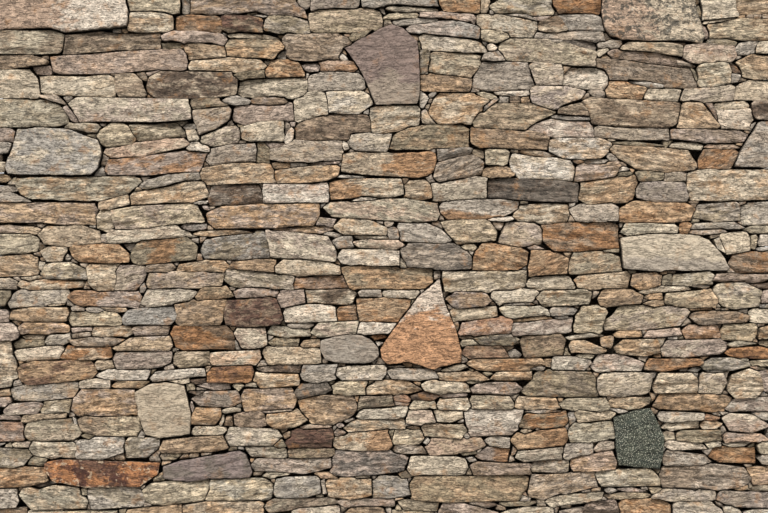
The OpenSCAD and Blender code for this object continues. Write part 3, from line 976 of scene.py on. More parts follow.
class Batch:
    """Collects stones that become one mesh."""

    def __init__(self):
        self.points = []
        self.triangles = []
        self.values = {"tone": [], "patch": [], "grain": [], "mask": []}
        self.count = 0

    def add(self, points, triangles, **values):
        self.points.append(points)
        self.triangles.append(np.asarray(triangles) + self.count)
        for name, value in values.items():
            value = np.asarray(value, float)
            if value.ndim == 1:
                value = np.tile(value, (len(points), 1))
            self.values[name].append(value)
        self.count += len(points)

    def write_values(self, mesh):
        """Stores the values of the stones as attributes of the mesh's points."""
        for name, values in self.values.items():
            value = np.vstack(values)
            kind, field = "FLOAT_VECTOR", "vector"
            if name in ("tone", "patch"):
                kind, field = "FLOAT_COLOR", "color"
                value = np.column_stack([value, np.ones(len(value))])
            layer = mesh.attributes.new(name, kind, "POINT")
            layer.data.foreach_set(field, value.astype(np.float32).ravel())

    def piece(self, name, material, node, slot):
        """Makes the mesh, and sets it in the place of the frame's node."""
        mesh = bpy.data.meshes.new(name)
        triangles = np.vstack(self.triangles)
        mesh.from_pydata(np.vstack(self.points).tolist(), [], triangles.tolist())
        self.write_values(mesh)
        mesh.polygons.foreach_set("use_smooth", np.ones(len(mesh.polygons), bool))
        mesh.materials.append(material)
        mesh.update()
        mesh.set_sharp_from_angle(angle=SHARP)
        thing = bpy.data.objects.new(name, mesh)
        bpy.context.scene.collection.objects.link(thing)
        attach(thing, "root")
        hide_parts(node)
        print(name, len(triangles), "triangles")


def build_face(side, stones, material, rng):
    """The stones of one face, one piece to each lift of the frame."""
    front = side == "front"
    plane = FRONT if front else BACK
    spacing = FRONT_SPACING if front else BACK_SPACING
    lifts = [Batch() for _ in LIFT_TOPS]
    for at, stone in enumerate(stones):
        z = PHOTO_FOOT_Z + stone["loop"][:, 1].mean() * math.cos(BATTER)
        lift = min(int(np.searchsorted(LIFT_TOPS, z)), len(LIFT_TOPS) - 1)
        if not front:
            like = stones[(at * BACK_STEP) % len(stones)]
            stone = dict(stone, tone=like["tone"], patch=like["patch"],
                         loop=resampled(mirrored(stone["loop"]), spacing))
            stone.pop("proud", None)
        add_stone(lifts[lift], stone, plane, spacing, rng.uniform(*FACE_DEPTH), rng)
    for i, batch in enumerate(lifts):
        name = f"{side}_lift_{i + 1}"
        batch.piece(name + "_stones", material, name, "face_stone")


def build_landmarks(stones, looks, rng):
    for stone in stones:
        batch = Batch()
        add_stone(batch, stone, FRONT, FRONT_SPACING, STONE_DEPTH, rng)
        batch.piece(stone["node"] + "_worn", looks[stone["look"]], stone["node"], stone["slot"])


def build_throughs(stones, material, rng):
    """The stones that show in both faces: a worn end in each."""
    for node in THROUGHS:
        batch = Batch()
        for stone in stones:
            if stone["node"] == node:
                add_stone(batch, stone, FRONT, FRONT_SPACING, STONE_DEPTH, rng)
                far_end = dict(stone, loop=mirrored(stone["loop"]), proud=FAR_END_PROUD)
                add_stone(batch, far_end, BACK, FRONT_SPACING, STONE_DEPTH, rng)
        batch.piece(node[:-1] + "_stones", material, node, "face_stone")


def sheet_triangles(number):
    """Triangles of a sheet whose points are numbered in rows and columns."""
    low_left, low_right = number[:-1, :-1].ravel(), number[:-1, 1:].ravel()
    top_left, top_right = number[1:, :-1].ravel(), number[1:, 1:].ravel()
    return np.vstack([np.column_stack([low_left, low_right, top_right]),
                      np.column_stack([low_left, top_right, top_left])])


def rim_triangles(number):
    """Triangles that join the border of such a sheet to a second sheet, numbered on from it."""
    border = np.concatenate([number[0], number[1:, -1], number[-1, -2::-1], number[-2:0:-1, 0]])
    ahead = np.roll(border, -1)
    return np.vstack([np.column_stack([border, border + number.size, ahead + number.size]),
                      np.column_stack([border, ahead + number.size, ahead])])


def build_hearting(material):
    """Packed rubble behind the face stones: a closed sheet of lumps on each side."""
    along = np.arange(-HEARTING_HALF, HEARTING_HALF + 0.0001, HEARTING_SPACING)
    up = np.arange(HEARTING_Z[0], HEARTING_Z[1] + 0.0001, HEARTING_SPACING)
    flat = np.stack(np.meshgrid(along, up), axis=-1).reshape(-1, 2)
    sheets = []
    for side in (-1, 1):
        lumps = rough(lifted(flat, 0.9) * (1, 1, side), HEARTING_WAVE, 71 + side, 3)
        depth = HEARTING_DEPTH + HEARTING_LUMP * lumps
        y = side * (BASE_HALF - (flat[:, 1] - BASE_Z) / BATTER_RUN - depth)
        sheets.append(np.column_stack([flat[:, 0], y, flat[:, 1]]))
    points = np.vstack(sheets)
    number = np.arange(len(flat)).reshape(len(up), len(along))
    sheet = sheet_triangles(number)
    batch = Batch()
    # the mask's third value of -0.4 paints the rubble darker all over, as painted shade behind the
    # face stones
    batch.add(points, np.vstack([sheet, sheet[:, ::-1] + len(flat), rim_triangles(number)]),
              tone=linear(TONES["BR"]), patch=linear(TONES["WG"]),
              grain=points[:, [0, 2, 1]], mask=(0.0, 0.2, -0.4))
    batch.piece("hearting_rubble", material, "hearting", "rubble")


def build_fills(side, sign, material, rng):
    """Small stones packed between the two runners of each runner course of a head."""
    batch = Batch()
    for corners, _ in solids_of(side + "_head_fill"):
        low, high = corners.min(axis=0), corners.max(axis=0)
        plane = Plane((low[0] if sign < 0 else high[0], 0, 0), (0, sign, 0), (0, 0, 1))
        rows = 2 + int(rng.random() < 0.5)
        cuts = low[2] + uneven_rows(rows, rng) * (high[2] - low[2])
        wide = high[1] - low[1]
        for row in range(rows):
            middle = rng.uniform(-0.15, 0.15) * wide
            spans = [(low[1], middle), (middle, high[1])] if wide > 0.13 else [(low[1], high[1])]
            for left, right in spans:
                bottom, top = cuts[row] + JOINT, cuts[row + 1] - JOINT
                loop = np.array([[left + JOINT, bottom], [right - JOINT, bottom],
                                 [right - JOINT, top], [left + JOINT, top]])
                tone = MARGIN_TONES[int(rng.integers(len(MARGIN_TONES)))]
                stone = {"loop": resampled(softened(loop, 0.010), FILL_SPACING), "tone": tone,
                         "patch": "WG", "side": "", "proud": FILL_PROUD}
                add_stone(batch, stone, plane, FILL_SPACING, FILL_DEPTH, rng)
    batch.piece(side + "_head_packing", material, side + "_head_fill", "rubble")


# Blocks of the heads, the footings and the cope

def unit(vector):
    return vector / np.linalg.norm(vector)


def planes_of(corners, triangles):
    """Outward normals and offsets of a convex solid's faces."""
    first, second, third = (corners[triangles[:, i]] for i in range(3))
    normal = np.cross(second - first, third - first)
    long = lengths(normal)
    good = long > 1e-9
    normal = normal[good] / long[good][:, None]
    offset = (normal * first[good]).sum(axis=1)
    flip = normal @ corners.mean(axis=0) > offset
    normal[flip] *= -1
    offset[flip] *= -1
    both = np.unique(np.round(np.column_stack([normal, offset]), 4), axis=0)
    return both[:, :3], both[:, 3]


def worn(normals, offsets, corners, rng, cuts, deepest, warp):
    """Adds planes that knock corners off and break each large face in two."""
    middle = corners.mean(axis=0)
    more_normals, more_offsets = [], []
    for _ in range(cuts):
        normal = unit(rng.normal(0, 1, 3))
        more_normals.append(normal)
        more_offsets.append((corners @ normal).max() - rng.uniform(0.1, 1) * deepest)
    for normal, offset in zip(normals, offsets):
        tilted = unit(normal + rng.normal(0, warp, 3))
        spot = middle + normal * (offset - normal @ middle)
        spot = spot + np.cross(normal, rng.normal(0, 1, 3)) * rng.uniform(0, BREAK_STRAY)
        more_normals.append(tilted)
        more_offsets.append(tilted @ spot - rng.uniform(0, BREAK_DEPTH))
    return np.vstack([normals, more_normals]), np.concatenate([offsets, more_offsets])


def clipped(loop, normal, offset):
    """The part of a flat loop that lies inside a plane."""
    over = loop @ normal - offset
    if over.max() <= 0:
        return loop
    kept = []
    for i, point in enumerate(loop):
        j = (i + 1) % len(loop)
        if over[i] <= 0:
            kept.append(point)
        if (over[i] <= 0) != (over[j] <= 0):
            kept.append(point + (loop[j] - point) * over[i] / (over[i] - over[j]))
    return np.array(kept)


def cut_faces(normals, offsets):
    """Corner loops of the convex solid between the planes, each with its normal and two axes."""
    faces = []
    for i, normal in enumerate(normals):
        aside = unit(np.cross(normal, np.eye(3)[np.argmin(np.abs(normal))]))
        above = np.cross(normal, aside)
        square = np.array([-aside - above, aside - above, aside + above, above - aside])
        loop = normal * offsets[i] + UNCUT * square
        for j in range(len(normals)):
            if j != i and len(loop):
                loop = clipped(loop, normals[j], offsets[j])
        if len(loop) > 2:
            faces.append((loop, normal, np.array([aside, above])))
    return faces


def welded_corners(faces, seen):
    """Corner points of a block, and for each face their numbers, its axes and its closeness."""
    raw = np.vstack([loop for loop, _, _ in faces])
    spots, index = np.unique(np.round(raw / WELD).astype(int), axis=0, return_inverse=True)
    index = index.reshape(-1).tolist()
    rings = []
    start = 0
    for loop, normal, axes in faces:
        ring = index[start:start + len(loop)]
        start += len(loop)
        ring = [a for i, a in enumerate(ring) if a != ring[i - 1]]
        if len(set(ring)) > 2:
            rings.append((ring, axes, float(seen(normal))))
    return list(spots * WELD), rings


def edges_of(ring):
    return list(zip(ring, ring[1:] + ring[:1]))


def cut_edges(points, rings, spacing):
    """Adds points along the edges of the faces; gives their numbers, from each end of an edge."""
    closeness = {}
    for ring, _, close in rings:
        for a, b in edges_of(ring):
            key = (min(a, b), max(a, b))
            closeness[key] = max(close, closeness.get(key, 0))
    along = {}
    for (a, b), close in closeness.items():
        steps = max(1, round(np.linalg.norm(points[b] - points[a]) * close / spacing))
        along[a, b] = list(range(len(points), len(points) + steps - 1))
        along[b, a] = along[a, b][::-1]
        for step in range(1, steps):
            points.append(points[a] + (points[b] - points[a]) * step / steps)
    return along


def face_triangles(points, ring, axes, spacing, rng):
    """Triangles that fill a flat face; the points that they need inside it join the others."""
    origin = points[ring[0]]
    flat = (np.array([points[i] for i in ring]) - origin) @ axes.T
    filled, cap = triangulated(flat, inner_points(flat, spacing, rng))
    new = filled[len(ring):] @ axes + origin
    where = np.array(ring + list(range(len(points), len(points) + len(new))))
    points += list(new)
    return where[cap].tolist()


def is_upright(corners):
    """True for a slab set on edge: higher than it is thick along the wall."""
    size = np.ptp(corners, axis=0)
    return size[2] > 1.4 * size[0]


def weathered(points, arris, corners, bumps, seed):
    """The points sunk into the block, by lumps, sheets and, for the first ones, chipped edges."""
    away = points - corners.mean(axis=0)
    away /= lengths(away)[:, None]
    lumps = rough(points, BLOCK_SWELL[0], seed, 3) * BLOCK_SWELL[1]
    lumps += rough(points, BLOCK_BUMP[0], seed + 9) * BLOCK_BUMP[1]
    across_bed = 0 if is_upright(corners) else 2
    sheets = points * np.where(np.arange(3) == across_bed, 1.0, 0.15)
    lumps += 0.8 * np.tanh(4 * value_noise(sheets / SHEET, seed + 3))
    depth = (lumps - LOWEST_LUMP) * LUMP_SHARE * bumps
    chipped = np.clip(rough(points, CHIP_WAVE, seed + 21, 2), 0, 1) * ARRIS_CHIP
    depth[:arris] += ARRIS_WEAR + chipped[:arris]
    return np.clip(points - away * depth[:, None], corners.min(axis=0), corners.max(axis=0))


def block_mesh(solid, spacing, seen, rng, cuts=14, deepest=0.016, warp=0.03, bumps=0.0040):
    """Rough convex block inside a solid: flat spalled faces with an arris between each pair.

    seen gives, for a face's normal, how closely that face is meshed, from 0 to 1.
    """
    corners, triangles = solid
    normals, offsets = worn(*planes_of(corners, triangles), corners, rng, cuts, deepest, warp)
    points, rings = welded_corners(cut_faces(normals, offsets), seen)
    along = cut_edges(points, rings, spacing)
    arris = len(points)
    made = []
    for ring, axes, close in rings:
        whole = [i for a, b in edges_of(ring) for i in [a] + along[a, b]]
        made += face_triangles(points, whole, axes, spacing / close, rng)
    return weathered(np.array(points), arris, corners, bumps, new_seed(rng)), made


def add_block(batch, solid, seen, rng, tones, spacing=BLOCK_SPACING, **wear):
    """Meshes one block of the frame and gives it a tone from the list."""
    points, triangles = block_mesh(solid, spacing, seen, rng, **wear)
    grain = points[:, [1, 0, 2]] if is_upright(solid[0]) else points[:, [0, 2, 1]]
    grain = grain + rng.uniform(-40, 40, 3)
    tone, patch = tones[int(rng.integers(len(tones)))]
    streaky = rng.uniform(0.5, 0.9) if is_leafy(tone, patch) else rng.uniform(0.15, 0.5)
    batch.add(points, triangles, tone=varied(tone, rng), patch=varied(patch, rng), grain=grain,
              mask=(-0.1, streaky, 1.0))


def build_blocks(node, name, material, slot, rng, **how):
    """A rough block for each solid of a node, all in one piece."""
    batch = Batch()
    for solid in solids_of(node):
        add_block(batch, solid, rng=rng, **how)
    batch.piece(name, material, node, slot)


def towards(sign_x, sign_y):
    """Close mesh on the faces that look out of the wall, coarse on the others."""
    def seen(normal):
        front = normal[1] * sign_y > OUTWARD if sign_y else abs(normal[1]) > OUTWARD
        return 1.0 if normal[0] * sign_x > OUTWARD or front else HIDDEN
    return seen


def above_all(normal):
    """Coarser underneath and on the sides that touch the next stone."""
    return COPE_HIDDEN if normal[2] < -0.5 or abs(normal[0]) > 0.9 else 1.0


def build_heads(material, rng):
    """Ties, runners, packing and end footing of both heads."""
    for side, sign in (("left", -1), ("right", 1)):
        how = {"seen": towards(sign, 0), "tones": HEAD_TONES}
        for part in ("tie", "runner"):
            build_blocks(f"{side}_head_{part}s", f"{side}_head_{part}_stones", material,
                         "head_stone", rng, **how)
        build_fills(side, sign, material, rng)
        build_blocks(side + "_end_footing", side + "_end_footing_stone", material,
                     "head_stone", rng, **how)


def build_footings(material, rng):
    for side, sign in (("front", -1), ("back", 1)):
        build_blocks(side + "_footings", side + "_footing_stones", material, "head_stone", rng,
                     seen=towards(0, sign), tones=HEAD_TONES)


def build_top(material, rng):
    """The flat cover slabs, and the cope stones on edge, each leaning on its neighbour."""
    build_blocks("cover_band", "cover_band_slabs", material, "cope_stone", rng,
                 seen=towards(0, 0), tones=COPE_TONES, cuts=10, deepest=0.008, warp=0.008,
                 bumps=0.003)
    build_blocks("cope_stones", "cope_stones_on_edge", material, "cope_stone", rng,
                 seen=above_all, tones=COPE_TONES, spacing=COPE_SPACING, cuts=18,
                 deepest=0.020, warp=0.05)


# Materials

class Nodes:
    """Short calls to build a node tree."""

    def __init__(self, name):
        self.material = bpy.data.materials.new(name)
        self.material.use_nodes = True
        self.tree = self.material.node_tree
        self.shader = self.tree.nodes["Principled BSDF"]

    def put(self, socket, value):
        if isinstance(value, bpy.types.NodeSocket):
            self.tree.links.new(value, socket)
        elif value is not None:
            socket.default_value = value

    def add(self, kind, **settings):
        node = self.tree.nodes.new(kind)
        for key, value in settings.items():
            setattr(node, key, value)
        return node

    def attribute(self, name, output):
        return self.add("ShaderNodeAttribute", attribute_name=name).outputs[output]

    def parts(self, vector):
        node = self.add("ShaderNodeSeparateXYZ")
        self.put(node.inputs[0], vector)
        return node.outputs

    def math(self, operation, a, b=None):
        node = self.add("ShaderNodeMath", operation=operation)
        self.put(node.inputs[0], a)
        self.put(node.inputs[1], b)
        return node.outputs[0]

    def total(self, *parts):
        """Sum of values, each times its weight."""
        total, *others = (self.math("MULTIPLY", value, weight) for value, weight in parts)
        for part in others:
            total = self.math("ADD", total, part)
        return total

    def scaled(self, vector, scale):
        node = self.add("ShaderNodeVectorMath", operation="MULTIPLY")
        self.put(node.inputs[0], vector)
        node.inputs[1].default_value = scale
        return node.outputs[0]

    def noise(self, vector, scale, detail, roughness, distortion=0.0):
        """Noise from 0 to 1, with the given number of cells to a metre."""
        node = self.add("ShaderNodeTexNoise")
        self.put(node.inputs["Vector"], vector)
        node.inputs["Scale"].default_value = scale
        node.inputs["Detail"].default_value = detail
        node.inputs["Roughness"].default_value = roughness
        node.inputs["Distortion"].default_value = distortion
        return node.outputs["Fac"]

    def cells(self, vector, scale):
        node = self.add("ShaderNodeTexVoronoi")
        self.put(node.inputs["Vector"], vector)
        node.inputs["Scale"].default_value = scale
        return node.outputs["Distance"]

    def between(self, value, low, high, to_low=0.0, to_high=1.0):
        """Goes smoothly from to_low, at or below low, to to_high, at or above high."""
        node = self.add("ShaderNodeMapRange", interpolation_type="SMOOTHSTEP")
        self.put(node.inputs["Value"], value)
        node.inputs["From Min"].default_value = low
        node.inputs["From Max"].default_value = high
        node.inputs["To Min"].default_value = to_low
        node.inputs["To Max"].default_value = to_high
        return node.outputs["Result"]

    def mix(self, share, a, b, blend="MIX"):
        node = self.add("ShaderNodeMix", data_type="RGBA", blend_type=blend)
        self.put(node.inputs[0], share)
        self.put(node.inputs[6], a)
        self.put(node.inputs[7], b)
        return node.outputs[2]

    def grey(self, value):
        node = self.add("ShaderNodeCombineColor")
        for i in range(3):
            self.put(node.inputs[i], value)
        return node.outputs[0]

    def shaded(self, colour, share, value, low, high, darkest, lightest):
        """Colour times darkest where a value is low and times lightest where it is high."""
        level = self.grey(self.between(value, low, high, darkest, lightest))
        return self.mix(share, colour, level, "MULTIPLY")

    def spotted(self, colour, value, low, high, most, spot):
        """Colour with another over it, up to a share of most, where a value is high."""
        return self.mix(self.between(value, low, high, 0.0, most), colour, shade(spot))


def shade(colour):
    return (*linear(colour), 1.0)


class StoneNodes(Nodes):
    """A stone material, with the noises that its colour and its bumps share."""

    def __init__(self, name):
        super().__init__(name)
        self.grain = self.attribute("grain", "Vector")
        # the mask's third value is the painted light and shade of the face, its rim, its sides and
        # its rear
        self.bias, self.leafy, self.painted_light = self.parts(self.attribute("mask", "Vector"))
        self.along_bed = self.scaled(self.grain, (0.26, 1.0, 0.45))
        self.streaks = self.noise(self.along_bed, 120, detail=6, roughness=0.62)
        self.thin = self.noise(self.along_bed, 520, detail=3, roughness=0.5)
        vein = self.noise(self.along_bed, 75, detail=4, roughness=0.6, distortion=0.9)
        self.crack = self.math("ABSOLUTE", self.math("SUBTRACT", vein, 0.5))
        self.mottle = self.noise(self.grain, 46, detail=5, roughness=0.6)
        self.fine = self.noise(self.grain, 520, detail=3, roughness=0.7)

    def spots(self, colour, kind, most):
        """Colour with spots of the kind over it, up to a share of most."""
        scale, detail, roughness, begin, full, spot = SPOTS[kind]
        noise = self.noise(self.grain, scale, detail, roughness)
        return self.spotted(colour, noise, begin, full, most, spot)


def two_tones(n, blotch):
    """A stone's tone, and its second tone in patches that lean to one side."""
    patches = n.noise(n.scaled(n.grain, (0.55, 1.0, 0.8)), blotch, detail=6, roughness=0.68)
    share = n.between(n.math("ADD", patches, n.math("MULTIPLY", n.bias, 0.32)), 0.44, 0.58)
    return n.mix(share, n.attribute("tone", "Color"), n.attribute("patch", "Color"))


def flecked(n, colour, flecks):
    """Burnt patches, and pale flecks that gather at the rim."""
    colour = n.spots(colour, "burnt", 0.85)
    at_rim = n.math("MULTIPLY", n.math("SUBTRACT", 1.0, n.painted_light), 0.12)
    pale = n.math("ADD", n.noise(n.grain, 52, detail=5, roughness=0.7), at_rim)
    return n.spotted(colour, pale, 0.58, 0.64, flecks, PALE_FLECK)


def add_bumps(n):
    """Ridges along the bed, pits, grain, cracks and small ledges."""
    ridges = n.math("MULTIPLY", n.total((n.streaks, 1.0), (n.thin, 0.5)), n.leafy)
    pits = n.noise(n.grain, 150, detail=5, roughness=0.60)
    cracks = n.between(n.crack, 0.0, 0.03)
    steps = n.noise(n.along_bed, 55, detail=3, roughness=0.5, distortion=0.4)
    height = n.total((ridges, 0.9), (pits, 1.1), (n.fine, 0.26), (cracks, 0.5),
                     (n.between(steps, 0.49, 0.52), 0.9))
    bump = n.add("ShaderNodeBump")
    bump.inputs["Strength"].default_value = 0.9
    bump.inputs["Distance"].default_value = BUMP_DISTANCE
    n.put(bump.inputs["Height"], height)
    n.put(n.shader.inputs["Normal"], bump.outputs["Normal"])


def stone_material(name, specks=0.6, lichen=0.0, grains=0.0, blotch=26, stains=0.62, flecks=0.0,
                   contrast=1.0):
    """Split stone: two tones in patches, streaks along the bed, fine grain, and rough bumps."""
    n = StoneNodes(name)
    colour = two_tones(n, blotch)
    colour = n.shaded(colour, n.leafy, n.streaks, 0.39, 0.61, 0.60, 1.42)
    # cracks painted darker: painted shade in the thin crevices that the bumps also cut
    colour = n.shaded(colour, contrast, n.crack, 0.004, 0.020, 0.36, 1.0)
    colour = n.shaded(colour, contrast, n.mottle, 0.30, 0.70, 0.82, 1.37)
    colour = n.shaded(colour, contrast, n.thin, 0.36, 0.64, 0.76, 1.24)
    colour = n.shaded(colour, specks, n.fine, 0.40, 0.60, 0.68, 1.27)
    colour = n.spots(colour, "rust", STAIN_COVER * stains)
    colour = n.spots(colour, "dark", STAIN_COVER * 0.6)
    if flecks:
        colour = flecked(n, colour, flecks)
    if grains:
        dots = n.between(n.cells(n.grain, 230), 0.20, 0.42, grains, 0.0)
        colour = n.mix(dots, colour, shade(GREEN_GRAIN))
    if lichen:
        colour = n.spots(colour, "dark crust", lichen)
        colour = n.spots(colour, "pale crust", lichen * 0.8)
    # painted light and shade: the colour is made darker at the rim, on the sides and at the rear,
    # darkest where they look down
    colour = n.shaded(colour, 1.0, n.painted_light, -0.6, 0.6, 0.28, 1.0)
    n.put(n.shader.inputs["Base Color"], colour)
    n.put(n.shader.inputs["Roughness"], n.between(n.mottle, 0.3, 0.7, 0.80, 0.95))
    n.shader.inputs["Specular IOR Level"].default_value = 0.28
    add_bumps(n)
    return n.material


def landmark_materials():
    """The materials of the landmark stones, by the names in LANDMARKS, but for the plain one."""
    return {
        "speckled": stone_material("speckled_stone", grains=0.95, stains=0.0),
        "blushed": stone_material("blushed_stone", specks=0.7, blotch=34, stains=0.2),
        "smooth": stone_material("smooth_stone", specks=0.25, stains=0.3, contrast=0.4),
        "rusted": stone_material("rusted_stone", specks=0.8, stains=0.0, flecks=0.9),
        "lichened": stone_material("lichened_stone", lichen=0.85),
        "mottled": stone_material("mottled_stone", specks=0.7, blotch=50),
    }


def floor_material():
    """Pale to the eye, and no brighter under the wall than plain ground."""
    n = Nodes("pale_floor")
    path = n.add("ShaderNodeLightPath")
    shown = n.math("MAXIMUM", path.outputs["Is Camera Ray"], path.outputs["Is Glossy Ray"])
    n.put(n.shader.inputs["Base Color"], n.mix(shown, shade(FLOOR_BOUNCE), shade(FLOOR_SHOWN)))
    n.shader.inputs["Roughness"].default_value = 0.9
    n.shader.inputs["Specular IOR Level"].default_value = 0.1
    return n.material


# Camera, light and floor

def make_camera():
    """Square to the battered face, over the middle of the photograph's frame."""
    centre = np.array([[0.0, PHOTO_FOOT / 2 * PIXEL]])
    away = PHOTO_WIDTH * PIXEL * LENS / SENSOR
    data = bpy.data.cameras.new("camera")
    data.lens = LENS
    data.sensor_width = SENSOR
    data.clip_end = VIEW_REACH
    camera = bpy.data.objects.new("camera", data)
    place = FRONT.place(centre, [away])[0]
    basis = Matrix((FRONT.right, FRONT.up, FRONT.out)).transposed()
    camera.matrix_world = Matrix.Translation(Vector(place)) @ basis.to_4x4()
    bpy.context.scene.collection.objects.link(camera)
    bpy.context.scene.camera = camera


def sun_light(name, place, power, softness):
    data = bpy.data.lights.new(name, "SUN")
    data.energy = power
    data.angle = math.radians(softness)
    light = bpy.data.objects.new(name, data)
    light.rotation_euler = (-Vector(place)).to_track_quat("-Z", "Y").to_euler()
    bpy.context.scene.collection.objects.link(light)


def make_world():
    """Even light from all round, shown paler than it shines."""
    world = bpy.data.worlds.new("studio")
    bpy.context.scene.world = world
    world.use_nodes = True
    tree = world.node_tree
    back = tree.nodes["Background"]
    back.inputs["Color"].default_value = (1, 1, 1, 1)
    path = tree.nodes.new("ShaderNodeLightPath")
    seen = tree.nodes.new("ShaderNodeMath")
    seen.operation = "MAXIMUM"
    tree.links.new(path.outputs["Is Camera Ray"], seen.inputs[0])
    tree.links.new(path.outputs["Is Glossy Ray"], seen.inputs[1])
    level = tree.nodes.new("ShaderNodeMapRange")
    tree.links.new(seen.outputs[0], level.inputs["Value"])
    level.inputs["To Min"].default_value = WORLD_LIGHT
    level.inputs["To Max"].default_value = WORLD_SHOWN
    tree.links.new(level.outputs["Result"], back.inputs["Strength"])


def make_stage():
    """Floor, world and lamps."""
    bpy.ops.mesh.primitive_plane_add(size=FLOOR_SIZE, location=(0, 0, -FLOOR_DROP))
    floor = bpy.context.object
    floor.name = "floor"
    floor.data.materials.append(floor_material())
    make_world()
    for name, place, power, softness in LAMPS:
        sun_light(name, place, power, softness)
    bpy.context.scene.view_settings.view_transform = "Standard"
